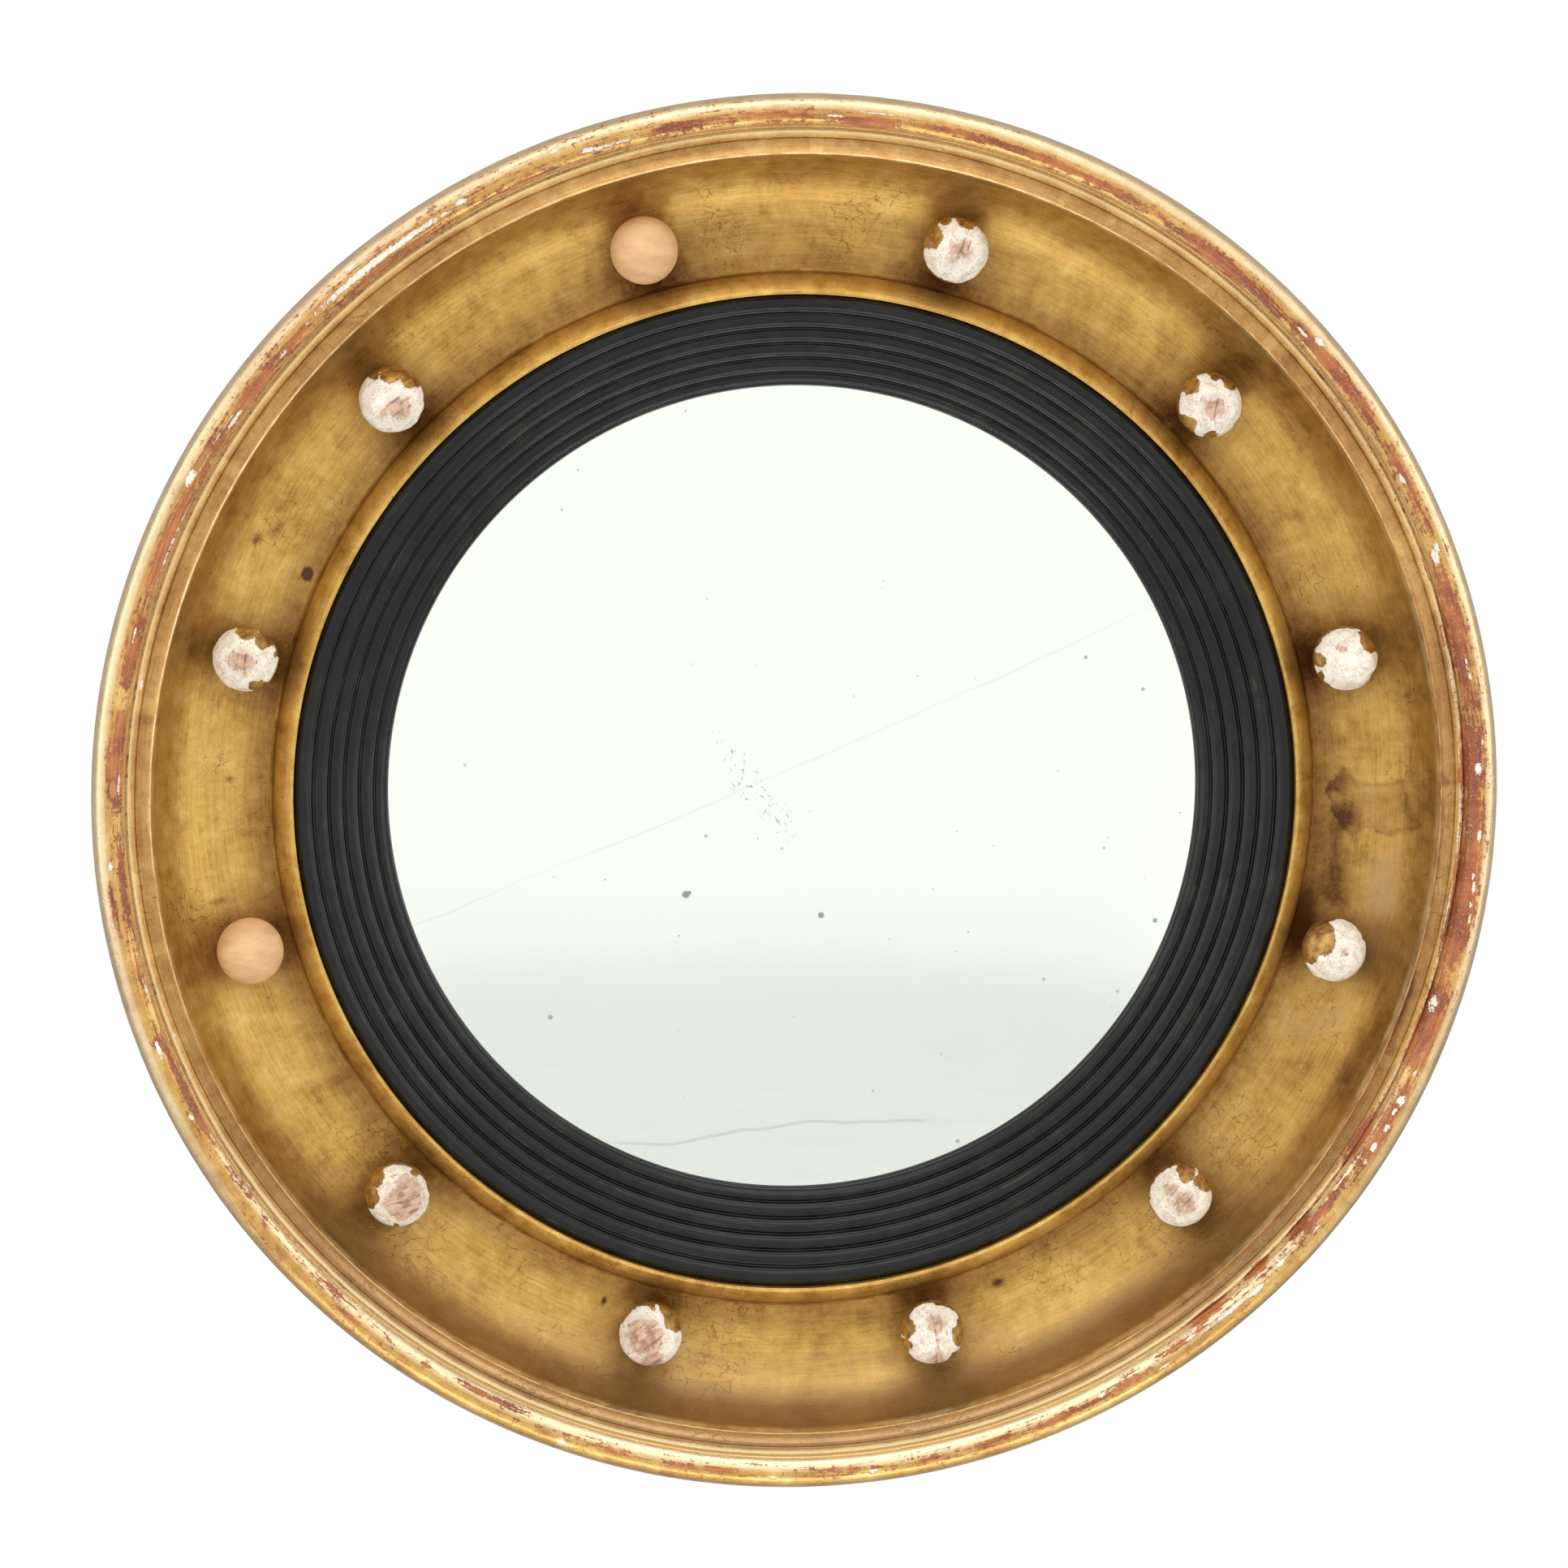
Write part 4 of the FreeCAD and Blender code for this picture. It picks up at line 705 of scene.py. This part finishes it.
faint = (scratch * 0.10).math("MAXIMUM", ripple * 0.22)
tint = silver.mix(marked + faint + haze, (252, 255, 249), (124, 128, 122))
silver_finish = silver.surface(Base_Color=tint, Metallic=1.0 - marked * 0.5, Roughness=0.045 + marked * 0.4,
                               Normal=silver.bump(silver.noise(flat, 0.006, 2.0, 0.4), 0.0010))
surface_mesh("glass_front", r * np.cos(angle), -d, r * np.sin(angle), {}, silver_finish,
             "mirror_glass")

# ---- Balls ----
# One inch turned balls on dowels. Ten are old: gesso and gilding, rubbed away in front to chalky white and
# to the wood. Two are later replacements in bare beech.
BALL_RADIUS, BALL_CIRCLE, BALL_HEIGHT = 12.7, 217.8, 47.05
# Degrees that each hole was bored past its even place.
BALL_DRIFT = (-0.5, -0.75, -0.4, 0.9, 0.2, 0.15, 0.1, -0.4, -0.2, -0.8, -1.2, -0.95)
# Wear of each old ball in front view, in ball radii from its middle: where gold is left (right, up, radius),
# where the wood shows, and which way its scratches run, in degrees.
BALL_WEAR = {
    1: (((0.78, 0.66, 0.46), (-1, 0, 0.26), (-0.86, -0.55, 0.14), (0.95, -0.5, 0.22)),
        ((-0.3, 0.4, 0.10),), 60),
    2: (((0.08, 1, 0.24), (0.58, 0.80, 0.34), (-0.72, 0.70, 0.34), (-0.86, -0.60, 0.34), (0, -1.02, 0.28),
         (0.92, -0.62, 0.26)), ((-0.02, 0, 0.36),), 80),
    3: (((0.30, 1, 0.34), (-0.86, 0.46, 0.40), (-0.35, 0.92, 0.16)),
        ((0.08, 0, 0.34), (-0.2, -0.3, 0.16)), 70),
    5: (((0.02, 0.88, 0.34), (0.62, 0.74, 0.36), (-0.60, 0.86, 0.22)),
        ((0.24, -0.22, 0.36), (-0.2, -0.4, 0.14)), 40),
    6: (((0.10, 0.98, 0.36), (0.66, 0.70, 0.32), (0.42, -0.84, 0.28), (1.02, 0.1, 0.16)),
        ((-0.05, 0, 0.42),), 85),
    8: (((-1, 0.10, 0.46), (-0.75, 0.70, 0.34), (-0.03, -0.92, 0.12), (0.56, -0.90, 0.13),
         (0.62, 0.86, 0.16)), ((0.18, -0.05, 0.62), (0.30, 0.25, 0.50)), 14),
    9: (((0.82, 0.64, 0.44), (0.06, 0.96, 0.12), (0.42, 0.98, 0.20)),
        ((-0.22, 0.10, 0.62), (0, -0.62, 0.40)), 38),
    10: (((1, 0.05, 0.48), (-1, 0.30, 0.36), (-0.95, -0.35, 0.26), (0.75, -0.75, 0.24)),
         ((0.05, 0.50, 0.30), (0.08, -0.66, 0.30), (0.1, 0, 0.12)), 100),
    11: (((0.10, 0.90, 0.32), (0.82, 0.58, 0.36), (0.40, 0.62, 0.12)),
         ((-0.05, -0.05, 0.42), (-0.45, 0.35, 0.26)), 50),
    12: (((-0.72, 0.52, 0.60), (-0.95, -0.05, 0.34), (0.60, -0.98, 0.16), (1, 0.4, 0.14)),
         ((0.1, 0.1, 0.12),), 20),
}
old_ball = Finish(bpy.data.materials.new("rubbed_ball"))
place = old_ball.place()
grain = old_ball.noise(place, 1300.0, 4.0, 0.7)
blotch = old_ball.noise(place, 260.0, 5.0, 0.65)
bared, worn = old_ball.attribute("bared"), old_ball.attribute("worn")
along, athwart = old_ball.attribute("along"), old_ball.attribute("athwart")
scored = old_ball.noise(old_ball.vector(along * 0.05, athwart * 0.42, 0.0), 1.6, 4.0, 0.65)
leaf = old_ball.mix(blotch.step(0.35, 0.65), (142, 100, 52), (204, 164, 96))
chalk = old_ball.mix((blotch * 0.5 + grain * 0.5).step(0.36, 0.58), (196, 176, 156), (238, 230, 218))
timber = old_ball.mix(blotch.step(0.38, 0.62), (150, 106, 82), (200, 162, 136))
timber = old_ball.mix(scored.step(0.53, 0.62), timber, (116, 74, 56))
shell = (bared + (blotch - 0.5) * 0.35 + (grain - 0.5) * 0.18).step(0.47, 0.53)
through = (worn + (blotch - 0.5) * 2.2 + (grain - 0.5) * 0.9 + (scored - 0.5) * 0.6).step(0.40, 0.74)
through = through * shell * 0.9
skin = old_ball.mix(shell, leaf, old_ball.mix(through, chalk, timber))
relief = blotch * 0.4 + grain * 0.5 + shell - scored * through * 0.6
old_ball_finish = old_ball.surface(Base_Color=skin, Metallic=(1 - shell) * 0.8, Roughness=0.42 + shell * 0.45,
                                   Normal=old_ball.bump(relief, 0.0002))
beech = Finish(bpy.data.materials.new("bare_beech"))
x, y, z = beech.split(beech.place())
rings = beech.noise(beech.vector(x * 90.0, y * 40.0, z * 220.0), 1.0, 3.0, 0.6)
pores = beech.noise(beech.vector(x * 1500.0, y * 1500.0, z * 5200.0), 1.0, 2.0, 0.5)
beech_finish = beech.surface(
    Base_Color=beech.mix((rings * 0.85 + pores * 0.15).step(0.32, 0.68), (200, 154, 108), (220, 176, 130)),
    Roughness=0.50 + pores * 0.1, Normal=beech.bump(pores, 0.00003))
polar = np.linspace(0, np.pi, 101)[None, :]
spin = np.linspace(0, 2 * np.pi, 201)[:-1, None]
# The pole faces the viewer. Fore, side and rise are the parts of each direction to the front, right and up.
fore = np.cos(polar) + 0 * spin
side, rise = np.sin(polar) * np.cos(spin), np.sin(polar) * np.sin(spin)
# How far the patches of leaf lie below the ball's full size, and how far the chalky skin stands over them.
LEAF_BELOW, CHALK, CHALK_RAGGED = 0.30, 0.12, 0.16
for number, drift in enumerate(BALL_DRIFT, 1):
    node = f"ball_{number:02d}"
    around = math.radians(30 * number - 15 + drift)
    fields, size, material, finish_slot = {}, BALL_RADIUS, beech_finish, "bare_beech"
    if number in BALL_WEAR:
        gilt_left, wood_bare, scratch_angle = BALL_WEAR[number]
        fade, turns, widths = np.sin(polar), spin / (2 * np.pi) + 0 * polar, polar / np.pi + 0 * spin
        bumpy = fade * rough(turns, widths, 14, 9, 300 + number)
        ragged = fade * rough(turns, widths, 26, 14, 400 + number)
        bared = np.minimum((fore - 0.20) * 1.6, 1.0)
        for over, up, reach in gilt_left:
            bared = np.minimum(bared, (np.hypot(side - over, rise - up) - reach) * 2.2)
        bared = 0.5 + np.where(fore > -0.2, bared + 0.16 * bumpy + 0.24 * ragged, -0.5)
        worn = np.full(fore.shape, -0.6)
        for over, up, reach in wood_bare:
            worn = np.maximum(worn, (reach - np.hypot(side - over, rise - up)) * 1.8)
        worn = 0.5 + np.where(fore > 0, worn, -0.5)
        tilt = math.radians(scratch_angle)
        fields = dict(bared=bared, worn=worn,
                      along=BALL_RADIUS * (side * math.cos(tilt) + rise * math.sin(tilt)),
                      athwart=BALL_RADIUS * (rise * math.cos(tilt) - side * math.sin(tilt)))
        raised = np.clip((bared - 0.46) / 0.08, 0, 1)
        size = BALL_RADIUS + raised * (CHALK + CHALK_RAGGED * ragged) - LEAF_BELOW
        material, finish_slot = old_ball_finish, "gilded_ball"
    surface_mesh(f"{node}_skin", BALL_CIRCLE * math.cos(around) + side * size, -BALL_HEIGHT - fore * size,
                 BALL_CIRCLE * math.sin(around) + rise * size, fields, material, node)

# ---- Dowels in the balls ----
# Chamfered beech dowels, glued into the balls and the cove. They keep the shape that the frame has.
def dress(name, material):
    """Give a carried-over piece of the frame its finish."""
    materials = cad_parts[name].data.materials
    materials.clear()
    materials.append(material)


dress("ball_pegs", beech_finish)

# ---- Back ring ----
# Second lamination of the frame: six pine segments, glued with their joints between those in front. Its
# back is bare wood, and the ochre of the frame's side runs over its edge.
def old_pine(name, pale, deep, shift, knots=(), segments=0, first_joint=0.0, paint_from=1.0):
    """Bare pine gone brown. Year lines are waves across the grain, bent by noise and pushed aside around the
    knots (right, up, radius in metres). On a ring of segments each place is first turned by its segment's
    middle angle, so that the grain runs along the segment, and a dark line marks each glue joint."""
    pine = Finish(bpy.data.materials.new(name))
    x, y, z = pine.split(pine.place())
    radius = (x * x + z * z).math("SQRT")
    across, along = x, z
    if segments:
        share = (z.math("ARCTAN2", x) * (180 / math.pi) - first_joint) / (360.0 / segments)
        number = share.math("FLOOR")
        middle = ((number + 0.5) * (360.0 / segments) + first_joint) * (math.pi / 180)
        across = x * middle.math("COSINE") + z * middle.math("SINE")
        along = z * middle.math("COSINE") - x * middle.math("SINE") + number * 0.37
        joint = ((share - number - 0.5).math("ABSOLUTE") * -2.0 + 1.0) * radius * (math.pi / segments)
    for over, up, size in knots:
        away = ((x - over) * (x - over) + (z - up) * (z - up) * 0.12).math("SQRT")
        push = away.step(0.0, size * 5.0, size * 1.6, 0.0)
        across = across + push * (x - over).step(-size, size, -1.0, 1.0)
    year = pine.add("ShaderNodeTexWave", dict(wave_type="BANDS", bands_direction="X", wave_profile="SAW"), {
        "Vector": pine.vector(across + y * 0.6 + shift, 0.0, along * 0.06), "Scale": 52.0, "Distortion": 5.0,
        "Detail": 3.0, "Detail Scale": 0.35, "Detail Roughness": 0.6}, output=1)
    fibre = pine.noise(pine.vector(across * 1800.0, y * 900.0, along * 45.0 + shift * 100.0), 1.0, 3.0, 0.6)
    drift = pine.noise(pine.vector(across * 60.0, y * 30.0, along * 7.0 + shift * 10.0), 1.0, 3.0, 0.55)
    dirt = pine.noise(pine.vector(x + shift, y, z), 16.0, 5.0, 0.65)
    wood = pine.mix(drift.step(0.32, 0.68), deep, pale)
    wood = pine.mix(year.step(0.55, 1.0) * 0.42, wood, (108, 70, 38))
    wood = pine.mix(fibre.step(0.5, 0.72) * 0.25, wood, (84, 54, 32))
    wood = pine.mix(dirt.step(0.48, 0.72) * 0.45, wood, (74, 54, 38))
    height = year * -0.5 + fibre * 0.4
    for over, up, size in knots:
        away = ((x - over) * (x - over) + (z - up) * (z - up) * 0.55).math("SQRT")
        wood = pine.mix(away.step(size * 0.5, size * 1.1, 0.85, 0.0), wood, (70, 40, 22))
    if segments:
        seam = joint.step(0.0002, 0.0007, 1.0, 0.0)
        wood = pine.mix(seam * 0.85, wood, (46, 30, 20))
        height = height - seam * 2.0
    painted = (radius + (dirt - 0.5) * 0.004).step(paint_from, paint_from + 0.0006)
    ochre = pine.mix(dirt.step(0.35, 0.65), (184, 142, 88), (150, 110, 64))
    wood = pine.mix(painted * 0.92, wood, ochre)
    return pine.surface(Base_Color=wood, Roughness=0.70 + fibre * 0.14, Normal=pine.bump(height, 0.00025))


dress("back_ring", old_pine("back_ring_pine", (176, 134, 86), (142, 102, 62), 0.0, segments=6,
                            first_joint=30.0, paint_from=0.2590))

# ---- Backboard and glass blocks ----
# Three pine boards with bevelled edges, side by side in the back ring's rebate and screwed to its shelf, and
# the small blocks, glued to the slip, that hold the glass.
for name, pale, deep, shift, knots in (
        ("backboard_left", (168, 128, 82), (134, 96, 58), 0.31,
         ((-0.125, 0.07, 0.006), (-0.150, -0.120, 0.004))),
        ("backboard_middle", (184, 146, 98), (150, 112, 70), 0.73,
         ((-0.022, -0.095, 0.007), (0.035, 0.150, 0.005))),
        ("backboard_right", (160, 118, 74), (128, 90, 54), 1.27,
         ((0.118, -0.020, 0.005), (0.140, 0.110, 0.006))),
        ("glass_blocks", (184, 146, 98), (150, 112, 70), 1.9, ())):
    dress(name, old_pine(f"{name}_pine", pale, deep, shift, knots))

# ---- Screws, brads and hangers ----
# Slotted steel screws, cut brads through the slip's flange, and brass strap hangers, screwed to the outer
# boards, whose D-rings swing in their eyes.
steel = Finish(bpy.data.materials.new("dull_steel"))
tarnish = steel.noise(steel.place(), 700.0, 4.0, 0.6)
steel_finish = steel.surface(
    Base_Color=steel.mix(tarnish.step(0.4, 0.7), (176, 160, 138), (112, 80, 54)),
    Metallic=0.9, Roughness=0.38 + tarnish * 0.3, Normal=steel.bump(tarnish, 0.00005))
for name in ("backboard_screws", "hanger_screws", "slip_brads"):
    dress(name, steel_finish)
brass = Finish(bpy.data.materials.new("old_brass"))
tarnish = brass.noise(brass.place(), 900.0, 5.0, 0.65)
brass_finish = brass.surface(
    Base_Color=brass.mix(tarnish.step(0.40, 0.75), (214, 178, 108), (150, 112, 58)),
    Metallic=0.95, Roughness=0.28 + tarnish * 0.3, Normal=brass.bump(tarnish, 0.00004))
for name in ("hanger_strap_left", "hanger_strap_right", "hanger_ring_left", "hanger_ring_right"):
    dress(name, brass_finish)
